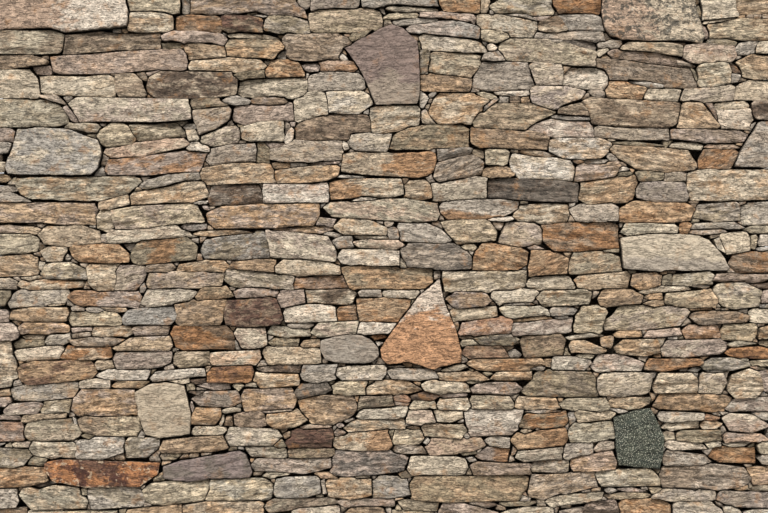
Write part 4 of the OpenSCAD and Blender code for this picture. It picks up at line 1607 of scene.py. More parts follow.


# The stones of the front face, one to a line:
# tone, then a slash and a second tone where patches of it show, then an at sign and the side
# where they lie, then the corners of the outline clockwise in pixels of the photograph.
# The outlines were read off. So were the tones, but 32 were changed after measuring.
BAND_A = """
OC/BR -15,31 30,32 50,31 62,34 62,46 58,51 30,53 -15,53
BR/BU 65,36 100,33 118,35 159,34 160,41 158,48 140,50 118,50 75,54 63,53
BR -15,57 28,56 48,61 46,64 28,66 -15,70
PK 33,67 49,66 50,71 48,74 36,74
PK 50,57 80,53 130,50 165,50 178,49 186,55 187,66 183,70 150,69 120,71 52,72
CR -15,72 30,69 37,80 38,95 33,98 -15,97
CR 39,76 85,78 105,75 113,78 113,95 50,93 41,90
WG 40,96 56,95 62,100 65,104 50,101
OC 126,-13 178,-13 179,3 180,12 172,13 150,11 131,11
PG 182,-13 189,-13 189,4 188,11 184,13 181,11
BR/PK 192,-13 293,-13 297,3 304,12 306,18 288,15 270,14 256,9 240,11 205,13 191,12
PG 253,15 262,15 267,16 263,17
CR/TN 129,14 135,12 150,12 165,13 171,16 173,22 173,29 165,31 145,31 130,30
BR/RU 176,20 178,16 200,15 215,16 219,18 221,26 219,31 195,30 178,30 175,27
DR/OL 222,18 226,16 245,17 260,18 263,22 262,32 245,32 230,32 224,29
PK 162,37 172,31 190,31 208,32 222,36 226,40 222,45 210,43 183,42 165,41
CR 228,35 240,33 256,34 268,35 279,38 270,39 255,38 240,38 230,37
OL 161,43 172,41 180,43 184,46 179,48 170,49 164,48
TN 185,46 188,43 200,43 215,44 222,46 224,51 224,56 215,57 188,58 186,53
TN/OL 226,45 228,41 235,38 250,39 265,40 277,41 284,47 280,52 273,58 245,57 228,54
CR/TN 189,66 192,62 200,60 225,58 258,60 265,66 262,69 245,70 215,71 192,70
PK 145,72 155,70 160,70 152,73 147,75
UM/CR 147,86 150,78 162,71 185,72 230,73 236,79 236,90 234,94 210,97 155,96 148,91
OL 235,76 242,72 264,70 264,77 250,78 240,79
CR/OL 239,92 241,83 250,80 275,79 303,78 308,85 303,95 295,98 284,96 262,96 243,95
BR 117,78 122,75 133,75 140,81 142,88 145,94 143,97 120,97 117,90
PG 221,101 226,98 234,96 243,98 250,101 247,104 225,103
BR/PK 250,101 255,98 275,96 283,97 286,101 284,104 270,105 255,104
OL/BR 190,104 192,100 205,98 218,99 228,105 215,107 200,108 193,109
WG 297,-13 309,-13 309,4 305,7 300,6 297,1
WG/PK 312,-13 359,-13 358,4 356,8 345,8 330,7 320,8 312,10
PG 362,-13 437,-13 437,2 438,5 430,6 400,4 385,4 375,6 364,6
BU/OL 310,14 318,10 345,9 368,9 379,12 382,18 381,26 376,29 350,31 320,32 310,29
OL/WG 264,29 265,22 271,16 290,16 300,18 307,21 309,28 309,32 298,33 288,32 272,31
BR/WG 284,39 288,34 312,35 336,34 341,37 351,41 341,47 339,59 305,60 291,59 286,51
WH 278,55 281,52 286,51 286,56 284,59 278,58
OL 349,38 353,34 362,32 371,30 364,36 357,39 351,41
WH 339,57 341,53 345,56 348,60 342,60
TN/RU 266,72 268,67 272,62 278,60 290,60 298,64 304,70 303,77 285,77 268,76
PK 302,65 306,64 318,64 320,66 319,70 310,71 304,70
PP/RU 320,69 320,62 328,60 345,60 353,63 357,67 352,70 325,70
PG 309,80 311,76 320,73 340,72 358,75 363,80 364,87 361,89 325,89 312,90 308,88
CR 294,104 296,99 310,93 318,91 324,95 326,103 327,114 312,117 300,121 295,119
CR/WH 327,93 335,91 350,91 362,92 368,97 371,104 358,112 340,112 329,111
CR 386,8 393,6 405,7 420,7 438,8 438,10 405,11 396,10
OC 384,17 390,13 398,12 416,12 418,14 416,17 400,18
PK 420,13 430,12 460,13 472,14 475,18 474,23 472,20 450,19 430,17 420,17
PG 393,21 398,19 415,18 436,18 438,20 432,22 398,24
PG/PK 408,29 412,26 420,24 440,20 452,20 478,28 480,34 478,38 450,36 420,32 410,31
TN/RU 440,-13 481,-13 480,5 479,11 465,12 445,10 440,2
BU 483,-13 488,-13 489,3 489,8 486,12 481,12 481,3
PG 490,10 493,9 494,13 491,14
OC/PG 491,7 497,3 505,-3 512,-13 549,-13 551,5 554,10 552,14 535,14 515,12 493,11
PG 505,14 515,13 527,14 534,18 538,20 518,16
PK 534,17 545,16 552,15 548,18 540,20
CR/BU 478,17 485,15 512,16 525,17 536,22 537,27 533,35 512,35 508,31 483,28 479,24
OC 481,32 484,30 500,31 508,34 509,36 503,40 495,41 485,39 481,36
OC/WG 500,49 502,43 512,39 545,40 570,45 595,52 596,58 594,66 578,65 556,62 505,59
CR/WH 421,37 424,34 445,36 472,39 479,42 484,47 486,50 460,50 430,48 424,47 423,42
OL/PG 420,52 426,51 429,53 430,60 428,68 427,73 420,73 419,60
OC/TN 431,55 434,53 470,54 481,56 480,64 477,69 470,76 448,74 429,70 430,62
BR/TN 421,76 428,74 455,76 472,79 471,87 468,90 430,90 421,90
WH 421,91 425,94 428,98 426,102 423,107 421,106
WG 429,94 432,90 437,90 436,93 433,96 430,97
TN/CR 430,112 436,98 441,94 472,94 488,101 484,107 475,116 470,123 450,124 437,124 433,119
OC 478,93 484,92 492,94 497,97 493,99 486,97 480,95
PG 484,107 490,102 495,98 498,99 494,103 488,108 484,112
WG/PG 473,85 476,75 482,64 486,62 526,62 531,72 534,84 530,88 500,89 485,88 477,86
WH 495,92 505,91 529,90 530,93 526,95 498,94
WG 481,59 484,55 490,52 498,51 503,55 506,60 495,61
WH 488,45 492,44 497,47 495,50 490,50 488,48
RU/BR 553,-13 602,-13 601,2 600,11 598,13 570,13 560,12 554,6
PG 560,16 565,14 580,13 593,14 600,18 603,26 604,30 575,29 568,29 563,19
BR/CR 539,26 542,22 550,19 558,17 562,19 568,28 564,29 555,31 545,31 540,29
WG/PG 535,36 537,32 560,33 590,31 602,32 604,40 595,41 572,38 545,38
PG 550,39 560,39 563,41 558,42 552,41
SL 563,41 575,41 585,41 594,43 597,46 595,49 578,46 570,43
PG/CR 597,45 600,42 612,41 621,41 622,44 619,47 598,47
CR 597,52 600,49 608,48 609,50 604,53 599,56
PK/BR 609,52 615,49 650,52 675,57 690,63 697,65 685,66 662,64 640,60 615,58
BU/OL 621,50 623,47 630,44 650,44 672,44 683,47 682,55 668,55 655,52 628,51
BR/WG 597,60 620,60 660,65 688,67 693,72 698,86 672,87 650,81 610,79 607,70 598,66
PG 630,80 645,81 664,84 663,87 650,87 631,82
OL 692,68 696,70 699,78 699,82 696,78
WH/CR 564,80 566,76 574,68 603,69 609,76 609,84 606,87 580,87 564,85
WG/CR 530,67 534,64 545,63 560,64 562,70 561,85 538,85 532,74
PK/CR 531,92 532,88 538,86 570,86 584,92 580,97 562,104 556,107 548,107 535,103 532,98
WG 589,91 591,90 602,90 605,93 604,97 596,96
TN/RU 608,88 609,81 620,80 645,84 648,87 643,98 618,98 609,96 607,92
BR 584,102 592,98 625,100 665,102 680,104 678,122 670,126 640,127 620,126 592,122 588,112
BR 558,113 560,110 572,106 582,104 588,109 590,116 570,116
OL 697,8 700,4 702,12 701,19 698,14
CR 703,-13 733,-13 735,3 737,10 737,15 712,18 703,19 702,10
BU/TN 737,-13 790,-13 790,10 768,11 742,12 738,9
CR 703,24 705,21 715,20 735,17 737,18 728,20 715,22
OC/TN@R 706,29 710,24 740,20 755,20 779,21 779,38 745,40 733,38 710,37 708,33
PK 702,24 705,26 709,32 709,37 706,38 703,32
OL/PG 707,43 708,40 728,39 738,43 737,45 712,44
PP/CR 683,50 686,47 705,45 732,46 735,50 735,56 731,60 710,63 690,62 684,56
WG 671,58 678,60 694,64 692,66 680,64
PG/WH 736,50 737,44 750,41 757,42 754,52 748,53 740,53
CR 757,52 757,47 760,43 779,42 779,53
TN/OC 736,64 740,61 752,55 760,56 779,57 779,79 758,79 745,75 740,70 737,67
OC/BU 698,82 697,74 698,67 703,64 720,62 727,64 731,74 730,82 715,86 699,86
PG 732,82 731,75 735,73 741,75 738,81
UM 732,62 738,66 742,72 736,72 732,68
WG/CR 683,95 685,90 705,88 732,86 736,88 733,99 705,101 682,99
CR/BU 737,88 742,84 752,81 790,81 790,99 755,99 736,99
CR 645,97 647,92 650,89 675,88 682,90 679,99 650,100
TN 679,120 682,107 683,104 690,102 700,103 710,113 718,125 716,127 678,127
CR 717,104 722,102 745,102 749,105 749,108 722,109 717,108
UM/WG 754,104 757,102 768,101 779,103 779,119 758,118 754,114
"""
BAND_B = """
OC -15,100 25,99 48,101 58,106 66,117 66,122 55,125 30,125 -15,126
PK 64,108 68,106 72,111 78,122 74,122 70,117
CR/PK 68,104 75,99 100,98 188,100 191,110 190,118 165,121 136,121 95,121 80,121 70,109
CR/OL 66,127 70,123 95,124 99,127 97,131 88,131
PK -15,130 8,129 14,132 15,137 13,141 -15,140
PG/OL -15,143 8,142 13,145 14,150 10,152 -15,151
CR -15,163 5,163 6,168 0,171 -15,171
TN/OL -15,173 6,176 9,179 5,181 -15,181
PG -15,188 5,186 15,186 16,190 10,191 -15,190
PG -15,195 10,193 25,199 30,202 -15,201
OC 97,136 99,131 112,124 120,124 128,128 135,138 130,143 108,146 98,141
OL/CR 130,126 150,123 175,124 184,132 184,136 160,139 138,140 133,134
PP 104,152 106,149 130,145 165,139 182,138 190,145 165,150 135,156 110,156
PK/RU 106,170 110,161 150,157 185,152 206,154 198,170 175,172 145,174 110,174
CR/TN 100,203 108,199 118,196 127,195 128,203 118,205 106,209 100,208
CR/TN 130,197 134,193 165,188 185,182 203,184 207,195 192,201 155,204 132,205
WG/BU 193,112 196,110 228,108 232,111 227,120 215,129 200,134 196,122
PK 232,111 236,107 262,105 292,104 293,119 262,120 245,123 234,120
PG 183,127 186,124 194,124 196,128 190,129 184,128
CR 186,130 194,130 199,139 196,141 190,141 188,136
CR/PK 200,140 203,136 225,128 235,127 241,134 235,142 215,145 202,144
WH 192,142 198,142 208,147 209,151 190,150 187,148
WG 206,159 212,150 230,145 255,145 258,150 255,161 225,162 212,165
BU/TN 202,175 204,169 225,165 262,163 271,166 276,181 245,182 210,184 203,180
PG/OL 141,186 148,181 175,174 198,174 200,178 175,183 148,189
UM/WG 209,196 213,186 245,185 257,186 262,197 262,203 235,205 211,204
WH 192,203 197,201 207,201 206,203 198,204
BR/UM 295,128 303,121 322,116 366,116 370,120 370,130 351,133 349,139 318,140 297,139
CR 241,136 242,129 262,122 282,121 284,130 282,140 250,140 243,138
WG 285,122 289,123 290,127 287,130 285,133
WH 285,142 287,134 291,128 294,130 292,142 287,144
PK 290,122 295,122 294,126 291,126
PK 265,143 276,142 285,143 278,147 270,148
OL 257,143 263,142 269,148 269,158 268,162 257,162
WG/BU 271,149 283,148 294,141 340,141 343,145 343,158 330,161 288,162 270,158
TN 272,163 288,163 291,164 290,167 276,168 272,167
PG 290,163 305,163 307,165 290,167
PK/BR 309,164 320,162 340,161 338,163 311,166
TN 274,177 276,172 296,168 330,164 339,168 336,176 316,183 278,184
WH/PK 264,190 265,184 300,184 326,183 329,188 327,201 300,202 264,203
CR/TN 371,120 371,107 390,106 417,107 420,111 417,125 399,130 380,133 373,132
PG/CR 348,144 351,134 372,133 390,135 388,147 386,150 357,149
WH 343,141 348,144 349,148 344,150 342,146
PG 337,177 342,175 366,177 350,178
CR/RU@L 330,191 330,184 345,180 400,180 404,193 390,196 358,196 332,198
WH 352,201 362,197 372,197 377,199 360,201
OC/PK 325,208 330,204 366,201 404,199 437,204 439,213 436,219 418,222 380,219 334,217
CR/PK 422,112 425,110 432,119 436,123 428,124 423,122
BU/OL 474,122 478,115 494,105 532,105 554,112 535,121 524,130 500,129 476,127
OL/TN 391,147 395,136 408,127 460,124 469,130 468,145 430,147 398,148
BR/TN 471,129 490,129 535,131 548,138 547,148 520,148 480,147 471,142
SL/PG 438,149 462,147 472,150 468,154 450,158 440,161
BU 473,150 483,151 484,154 483,158 473,154
OC 486,152 490,148 503,149 508,153 506,163 503,165 486,163
WG/BR 438,164 458,158 474,155 483,163 480,173 462,177 440,182 435,177
TN/BR 483,171 490,168 504,167 514,173 512,176 484,177
TN/CR 406,186 410,182 425,181 431,187 432,196 420,199 405,197
CR/PG 432,185 450,182 475,178 487,179 486,195 484,198 455,199 434,201
SL/UM 488,182 500,179 545,180 577,184 580,188 577,200 550,201 510,198 489,196
PG/RU@B 440,208 445,203 455,201 500,200 518,202 518,208 503,216 475,218 449,218 442,212
PG 552,116 560,115 590,117 591,120 570,120 555,118
PK/WH 529,130 540,123 555,119 590,121 594,130 594,137 560,137 538,131
WG/BU 595,129 600,126 640,128 668,129 669,138 630,138 596,135
OL 612,142 630,141 666,145 640,146
WH/TN 549,147 551,141 560,138 600,138 611,144 610,149 598,159 565,157 551,152
BU/WG 520,151 525,149 550,153 555,155 548,157 530,155
WH/CR 511,160 514,155 548,158 570,162 575,171 572,179 520,178 513,170
TN/BU 611,149 615,146 650,148 688,151 697,166 694,168 665,171 638,168 619,156
SL 573,161 580,160 584,162 578,164
PG 586,160 600,159 608,160 605,163 586,163
PK/TN 576,170 580,165 604,164 618,163 620,167 614,176 592,180 576,180
WH 619,169 623,167 629,169 626,171 620,172
OL 618,174 622,171 630,172 633,174 628,176 620,176
TN/OC 580,190 582,184 605,179 634,176 638,181 632,198 628,201 590,204 579,198
PK 706,104 711,104 717,116 718,122 711,112
WH 717,112 722,110 748,110 753,120 753,128 722,127 717,120
PK/BR 671,131 680,130 740,132 750,137 744,140 715,143 671,138
PG 752,124 757,122 753,130 751,134
CR 671,146 675,143 690,142 704,146 702,149 678,148
PP 705,147 710,144 735,145 741,147 720,149
RU/BR 704,151 720,149 733,150 737,153 729,168 700,168 700,160
OL 637,173 645,171 664,173 665,178 660,181 638,180
WG/BU 665,174 675,172 687,174 685,180 665,181
WG/PK 637,189 640,184 660,182 683,184 688,190 686,200 655,202 638,197
"""
BAND_C = """
TN/PK -15,205 20,203 50,204 93,205 96,210 94,223 62,224 40,221 -15,221
CR/OL 95,216 99,212 105,210 111,213 111,227 107,231 97,227
OC/PK 110,212 128,207 188,203 196,206 203,221 180,222 150,226 128,228 116,228 112,220
BU/PK -15,228 10,226 35,228 40,230 37,233 -15,232
OC -15,235 28,235 37,239 35,250 20,253 -15,255
BU 38,234 42,230 50,227 80,226 97,232 98,243 65,245 44,243
CR/WG 108,236 112,231 150,230 170,226 178,227 194,236 165,238 130,241 110,243
TN/RU 70,249 73,245 118,245 128,254 128,261 110,263 80,261 73,256
CR/BU 42,252 48,249 65,248 66,253 61,260 47,260
PG 64,257 66,254 70,258 68,260 64,260
TN -15,257 30,256 37,259 39,265 35,274 -15,276
CR 38,262 44,263 42,271 38,268
OC/PG 42,273 46,266 55,264 70,264 85,271 86,278 60,279 43,277
CR 20,278 38,276 42,278 28,281
WG/CR -15,279 8,279 16,283 15,288 -15,289
CR/RU 18,285 21,282 42,280 82,282 80,286 62,288 28,291
OL -15,291 8,292 9,297 4,304 -15,305
PG/CR 7,302 14,294 22,290 65,291 67,295 62,303 35,306 10,307
CR 47,305 55,304 65,304 50,307
PK/RU@L 67,296 75,292 137,292 140,297 136,307 82,306 74,302
CR/TN 87,272 88,267 93,265 118,265 115,271 116,277 112,290 97,291 89,282
PK/CR 119,267 140,266 145,269 143,278 134,290 114,290 117,278 116,272
WG 71,308 76,306 83,308 83,311 72,311
PG 86,309 92,307 104,310 98,313 88,312
BR 100,307 125,308 126,311 112,312 105,311
PK/PG 179,228 184,224 205,224 205,228 190,230
TN/PK 208,214 222,207 262,204 318,204 318,215 312,225 290,227 256,227 215,227 209,222
PK 202,206 207,206 209,210 204,209
TN 193,234 200,232 235,230 253,233 210,236
OL/RU@M 132,257 135,249 142,241 170,239 185,238 196,247 194,258 170,261 140,264 134,261
PG/OL 202,251 206,241 222,237 262,232 268,247 268,256 238,259 205,258
BR/WG 145,270 148,266 170,264 175,268 165,272 150,272
TN 176,270 179,266 205,262 222,261 228,267 224,271 190,272
TN/BR 230,267 233,263 250,260 275,261 273,272 245,270
BU/PK 147,283 151,273 205,272 223,275 220,286 160,288 149,288
PG/OL 225,279 227,271 250,271 268,273 293,277 292,289 262,288 232,285
CR/WG 142,303 148,290 180,289 195,293 188,301 150,307
TN/OL 196,296 205,287 225,287 232,295 215,299 198,300
PK 233,293 245,288 262,288 278,292 275,296 236,297
TN/BR 176,304 195,301 226,301 226,307 222,320 218,325 185,327 178,322
PK/OL 318,221 320,218 335,220 332,226 317,226
CR/TN 334,228 342,220 355,219 370,221 387,230 384,235 345,234
TN/PK 272,230 278,228 325,226 333,229 320,233 285,231
PG 323,234 330,232 342,235 335,237
CR/PK 267,231 280,231 300,234 327,237 336,250 334,260 295,258 270,256
PG 333,242 339,238 351,237 353,246 337,248
CR 354,236 385,236 392,237 388,239 357,238
CR/PP 354,243 370,239 398,241 403,245 392,249 360,247
WH/CR 337,257 344,250 380,250 398,252 398,265 370,266 342,262
CR/BU 276,267 285,260 320,261 341,268 339,274 300,276 278,273
TN/OL 342,269 360,266 431,269 434,280 425,287 410,289 375,287 350,289 345,280
PP/RU 294,285 296,279 315,277 343,276 348,287 325,289 295,288
PK 279,297 281,291 303,290 305,302 282,306
CR/UM@M 306,292 320,291 350,289 355,294 350,304 308,303
PG 358,293 362,290 380,291 381,297 360,296
CR/PG 384,293 390,290 418,291 419,295 417,299 386,297
WH/CR 284,315 286,309 315,304 334,308 337,320 300,322 286,321
RU/BR 337,312 340,308 355,306 359,319 345,320 338,320
TN/RU 358,320 358,300 380,298 405,299 411,302 407,310 398,321
WH 488,220 494,218 512,217 514,219 508,221
OC/BU 443,223 462,220 475,220 488,221 495,232 494,239 478,241 458,243 449,233
PG 398,229 400,224 425,224 440,231 450,240 445,244 402,240
WG 388,230 392,228 398,230 399,236 397,239 389,239
OC/PG 401,256 403,257 407,268 401,268
SL/WG 402,250 406,246 412,244 452,244 465,251 470,257 470,267 440,269 407,266
OC 462,247 466,245 474,245 477,248 475,250 464,249
TN/RU 477,250 484,244 500,245 515,247 527,253 527,263 515,270 474,269 475,257
BU/PK 503,232 508,223 535,223 543,230 540,243 520,246 500,243
WG 434,272 439,271 441,275 439,280 434,279
CR/OL 442,276 444,271 500,272 526,272 525,285 510,290 478,291 446,290
OL 412,300 418,299 411,306
PK/TN 447,299 456,292 482,292 491,300 484,306 457,308
CR 492,298 494,291 535,290 538,294 530,302 500,304
CR/OC 451,312 456,309 498,308 497,317 470,320 453,321
OC/CR 501,309 515,305 540,307 549,311 549,316 515,318 505,317
PG 503,304 530,303 535,305 505,305
CR/TN 515,216 520,207 550,203 567,206 569,212 566,220 550,224 520,220
PG 571,210 580,206 612,203 619,209 619,219 588,223 577,219
TN/RU 618,210 632,203 660,203 685,204 695,210 691,219 670,222 620,221
RU/BR 543,226 560,224 605,222 618,226 619,248 580,250 552,250 544,240
PK 528,247 535,245 545,249 530,249
TN/RU 529,268 532,252 555,252 567,260 566,274 540,276 529,275
OC/TN 569,264 575,254 603,252 619,258 622,270 585,273 571,273
OC 603,251 612,249 619,249 619,252
OC/CR 622,232 627,224 672,224 677,228 675,233 630,236
CR 527,284 535,277 565,275 577,284 574,289 545,290 530,287
BU/CR 574,282 580,276 627,273 630,277 627,288 588,289 577,286
TN/BR 631,284 632,276 655,274 662,277 660,287 640,289
OC/CR 537,297 545,290 585,290 591,294 588,304 545,306
TN/BR 599,299 604,290 625,288 643,297 640,303 602,306
PG 550,311 555,307 568,307 578,311 575,314 552,315
OC 578,312 584,306 603,307 606,313 602,330 598,334 575,331 574,327
OC/PK 605,322 614,317 622,307 650,306 685,308 690,312 680,325 650,329 607,330
PG/OL 694,216 700,206 735,203 741,208 740,219 715,220
CR/PG 742,208 750,204 779,202 779,224 746,224
RU/TN 681,229 682,224 688,222 692,225 688,234 682,233
PG/CR 692,228 695,224 735,223 745,228 725,228 700,229
WG 691,233 694,230 722,229 728,232 705,234
OC 745,229 758,226 779,226 779,232 750,232
CR 722,238 724,234 748,233 752,240 750,250 727,253
CR/PG 715,240 720,238 725,252 718,248
OC 753,236 757,235 759,238 756,249 752,247
WH 759,242 760,236 779,234 779,245 762,246
PG 758,249 762,247 790,248 790,251 760,251
BR/RU 731,264 735,256 755,252 790,252 790,272 740,272
CR/OL 673,283 676,276 710,273 714,276 711,284 674,285
PK/BR 714,280 718,275 779,273 779,282 735,281
WH/PG 693,286 698,284 711,286 707,289
CR 640,292 660,286 688,287 692,290 672,291 644,293
OL 662,284 663,277 671,275 672,284
TN/OC 645,297 650,294 662,293 663,299 650,299
CR/TN 645,304 652,301 664,301 665,305 655,307
OC/TN@R 666,302 668,294 710,290 718,299 714,307 680,307
OC/WG 714,291 718,285 745,283 760,291 759,305 735,308 722,305
UM 752,285 779,283 779,288 760,288
CR 714,306 718,304 722,307
PK 761,298 765,291 779,290 779,300 763,303
PG/OL 760,305 779,304 779,308 762,308
TN/BR 690,309 712,308 714,310 692,311
"""
BAND_D = """
PK -15,310 5,311 8,315 8,321 -15,322
TN 10,318 13,312 30,308 66,308 67,313 66,320 30,320
PK/WH -15,324 10,324 19,331 17,337 10,340 -15,341
TN/PK 19,328 25,324 62,324 69,328 66,333 35,334 22,333
BU 22,337 30,335 43,336 42,339 24,339
OL 13,345 20,340 44,341 43,346 15,349
CR/PG 45,342 52,334 70,334 70,340 60,345 48,345
CR/WH 13,354 18,349 60,345 63,349 58,359 30,361 16,359
CR/TN -15,343 8,341 12,356 18,374 10,385 -15,388
PG 13,381 18,380 21,385 12,387
BU/WG 95,365 98,360 112,361 113,368 98,369
PK/WG 113,360 117,354 145,352 170,353 170,364 150,368 118,369
WH 97,376 108,370 148,372 146,379 105,380
RU/BU 61,357 68,347 110,347 111,356 104,359 64,359
BR/WG 70,340 90,337 123,340 108,347 78,347
PK 71,329 90,328 91,331 72,333
WG/BR 71,334 85,332 91,332 90,336 72,338
CR/TN 91,333 94,329 128,327 131,333 125,336 93,336
OC 67,318 72,313 112,312 120,321 118,325 72,325
PG 123,320 127,312 150,308 172,308 177,316 170,324 126,325
BU/PK 115,348 130,339 170,337 173,345 168,350 118,350
PK/BR 132,330 138,327 168,327 166,335 135,335
PG/BU 10,391 14,387 65,383 79,384 72,396 40,400 14,399
WH/CR 76,386 82,380 108,380 108,387 82,388
TN/OL 113,386 118,381 148,382 145,387 120,390
TN/PK 72,401 82,391 134,391 136,398 136,415 100,417 77,415 71,409
TN -15,393 8,390 9,395 -15,397
PK -15,400 8,398 10,402 4,406 -15,405
PK/CR 4,412 8,406 36,403 42,406 35,413 6,415
OL/CR 42,409 45,403 71,401 68,412 44,413
RU/BR@R 171,335 175,327 225,327 235,338 232,348 185,350 173,345
PG 235,340 238,343 240,350 236,350
CR/PK 234,335 238,329 264,329 266,345 248,350 238,346
BU/OL 172,362 176,353 207,353 208,364 180,368
CR/PP 210,361 212,354 258,351 261,356 255,364 214,366
WH 149,380 155,374 190,370 203,370 204,375 170,380 152,383
CR 168,382 188,379 189,382 178,385
UM 189,381 205,379 205,382 195,384
RU/DR 207,376 215,367 250,366 253,372 251,382 207,383
PK 187,389 205,384 228,384 229,389 195,391
OC 233,386 238,383 243,386 238,391
CR 245,386 250,383 256,383 256,387
UM 189,392 203,392 198,395
WG/PK 192,400 203,393 235,392 240,401 230,407 200,405
TN/PK 241,399 245,391 290,390 296,398 292,410 246,411
PK 189,405 191,402 193,408 192,413
TN/BR 193,413 196,409 219,409 220,416 213,425 192,423
PG 287,325 308,323 313,325 305,329 290,328
OC/PK 268,333 272,327 310,330 310,335 285,337
OC/PK 312,332 320,324 357,322 356,332 320,336
WH 356,333 362,322 396,324 392,332 360,334
OL 269,343 275,339 298,340 297,346 272,346
TN 301,345 304,341 319,340 319,347 303,348
CR/BU 262,355 266,347 319,350 320,363 270,365
UM 258,369 275,366 300,366 298,373 265,372
PG 301,374 305,366 336,365 335,378 318,383 303,379
TN/CR 254,380 256,373 297,374 298,385 262,388
RU 371,337 378,334 387,337 375,340
WH 376,342 383,343 378,346
PG 372,362 377,360 374,365
SL 295,394 300,386 325,383 331,389 318,396 300,399
OC 332,387 345,381 366,383 364,394 335,395
TN/CR 367,389 378,382 405,381 421,390 405,394 368,394
TN/WG@R 299,402 313,396 352,398 356,408 348,420 334,424 313,424 303,412
BR/OL 358,409 362,397 392,396 393,406 375,408
RD/PK 458,333 463,323 505,317 511,321 509,332 485,335 462,336
OL/PK 453,324 458,322 459,327 457,331
BR 460,337 470,336 473,338 462,339
OC 461,344 463,341 472,340 479,345 463,346
OL/SL 475,339 482,336 510,335 518,340 513,344 480,345
RD/BR 463,353 467,347 500,346 509,357 470,358
PG 509,353 515,350 521,355 518,359 510,358
TN/RU@M 468,364 474,360 540,360 547,362 530,370 480,370
CR 442,371 455,366 463,365 468,367 455,372
OL 469,369 474,370 473,372
PG 388,372 395,369 430,371 438,377 420,380 393,378
PG 388,367 400,366 405,367 395,368
TN 438,374 475,372 488,379 460,381 440,380
OL 483,373 488,372 493,374 487,376
TN/CR 492,379 497,374 531,373 531,379 505,381
CR 423,385 430,381 465,383 470,391 440,394 424,390
OC 465,382 470,380 483,382 470,384
PK/SL 471,391 478,384 515,384 522,390 510,394 473,393
UM/RD 411,397 425,392 440,396 430,401 412,400
RD 394,398 402,395 411,399 406,404 395,401
PK/SL 440,396 450,394 467,395 466,397 444,399
OC 410,408 415,402 434,402 436,408 412,410
CR/TN 438,406 442,399 466,398 470,406 467,411 440,411
PK 395,402 409,404 407,406 396,405
OC/BR 471,401 473,396 508,397 514,405 510,409 473,409
TN 513,320 545,316 553,319 515,322
PG 555,318 568,316 569,318 560,319
PK/WH 513,331 514,324 573,319 572,331 550,334 514,335
BR/OL 521,343 524,337 560,335 566,340 562,354 526,357
CR 567,338 590,333 604,336 572,340
TN 570,346 573,341 611,338 612,347 600,353 572,352
BU/TN 616,348 624,341 655,340 660,352 640,355 618,352
TN 615,335 620,331 641,331 642,336 617,337
PK 644,337 650,332 680,328 682,334 650,338
PK/CR 593,367 600,356 620,355 643,364 641,371 598,371
PG/CR 552,364 556,358 588,358 591,364 583,370 554,370
TN 545,360 552,360 551,367 546,366
OC 577,356 590,353 594,356 590,359 580,358
PG 530,369 540,366 546,368 544,371
OL/BR 522,391 534,381 537,374 545,371 590,373 598,385 600,396 570,397 530,395
BU/TN 515,405 520,398 555,400 560,407 550,410 518,408
OC 561,405 570,399 605,399 609,407 600,412 566,409
BU/OL 610,404 614,399 650,399 650,406 630,410 613,408
WG/BR 525,412 545,410 562,412 540,414
PG 610,409 620,409 630,412 618,413
BU 512,339 518,339 519,343 512,345
BR/WG 691,317 695,311 735,313 750,317 745,321 700,325
CR 751,313 756,310 779,309 779,324 752,321
PP/RU 684,332 690,326 716,326 721,335 715,338 688,338
OC 722,334 726,325 755,325 759,331 752,340 725,339
TN/OL 758,330 768,327 790,328 790,338 760,338
PK/CR 662,351 668,342 720,340 727,344 724,353 680,357 664,355
OC 728,345 740,341 758,344 735,347
RU/DR 727,353 735,348 755,346 790,347 790,356 740,358
RU/BR 645,369 650,360 700,360 702,363 665,371
PG 689,371 694,368 702,369 698,372
PG/OL 702,366 712,359 747,359 750,366 730,369 704,369
PG 705,371 728,371 715,373
OC 751,362 768,360 779,360 779,365 754,366
PP 751,367 758,366 758,370
CR/TN 654,388 660,374 690,374 700,384 697,392 656,392
CR/PK 698,385 703,373 722,373 727,383 720,395 700,393
CR/TN 729,390 732,376 748,370 758,373 763,388 755,398 736,398
PK 761,373 779,367 779,393 766,391
TN/BR 655,406 662,395 720,395 732,399 724,411 665,411
PK/CR 727,408 735,400 779,398 779,412 735,412
"""
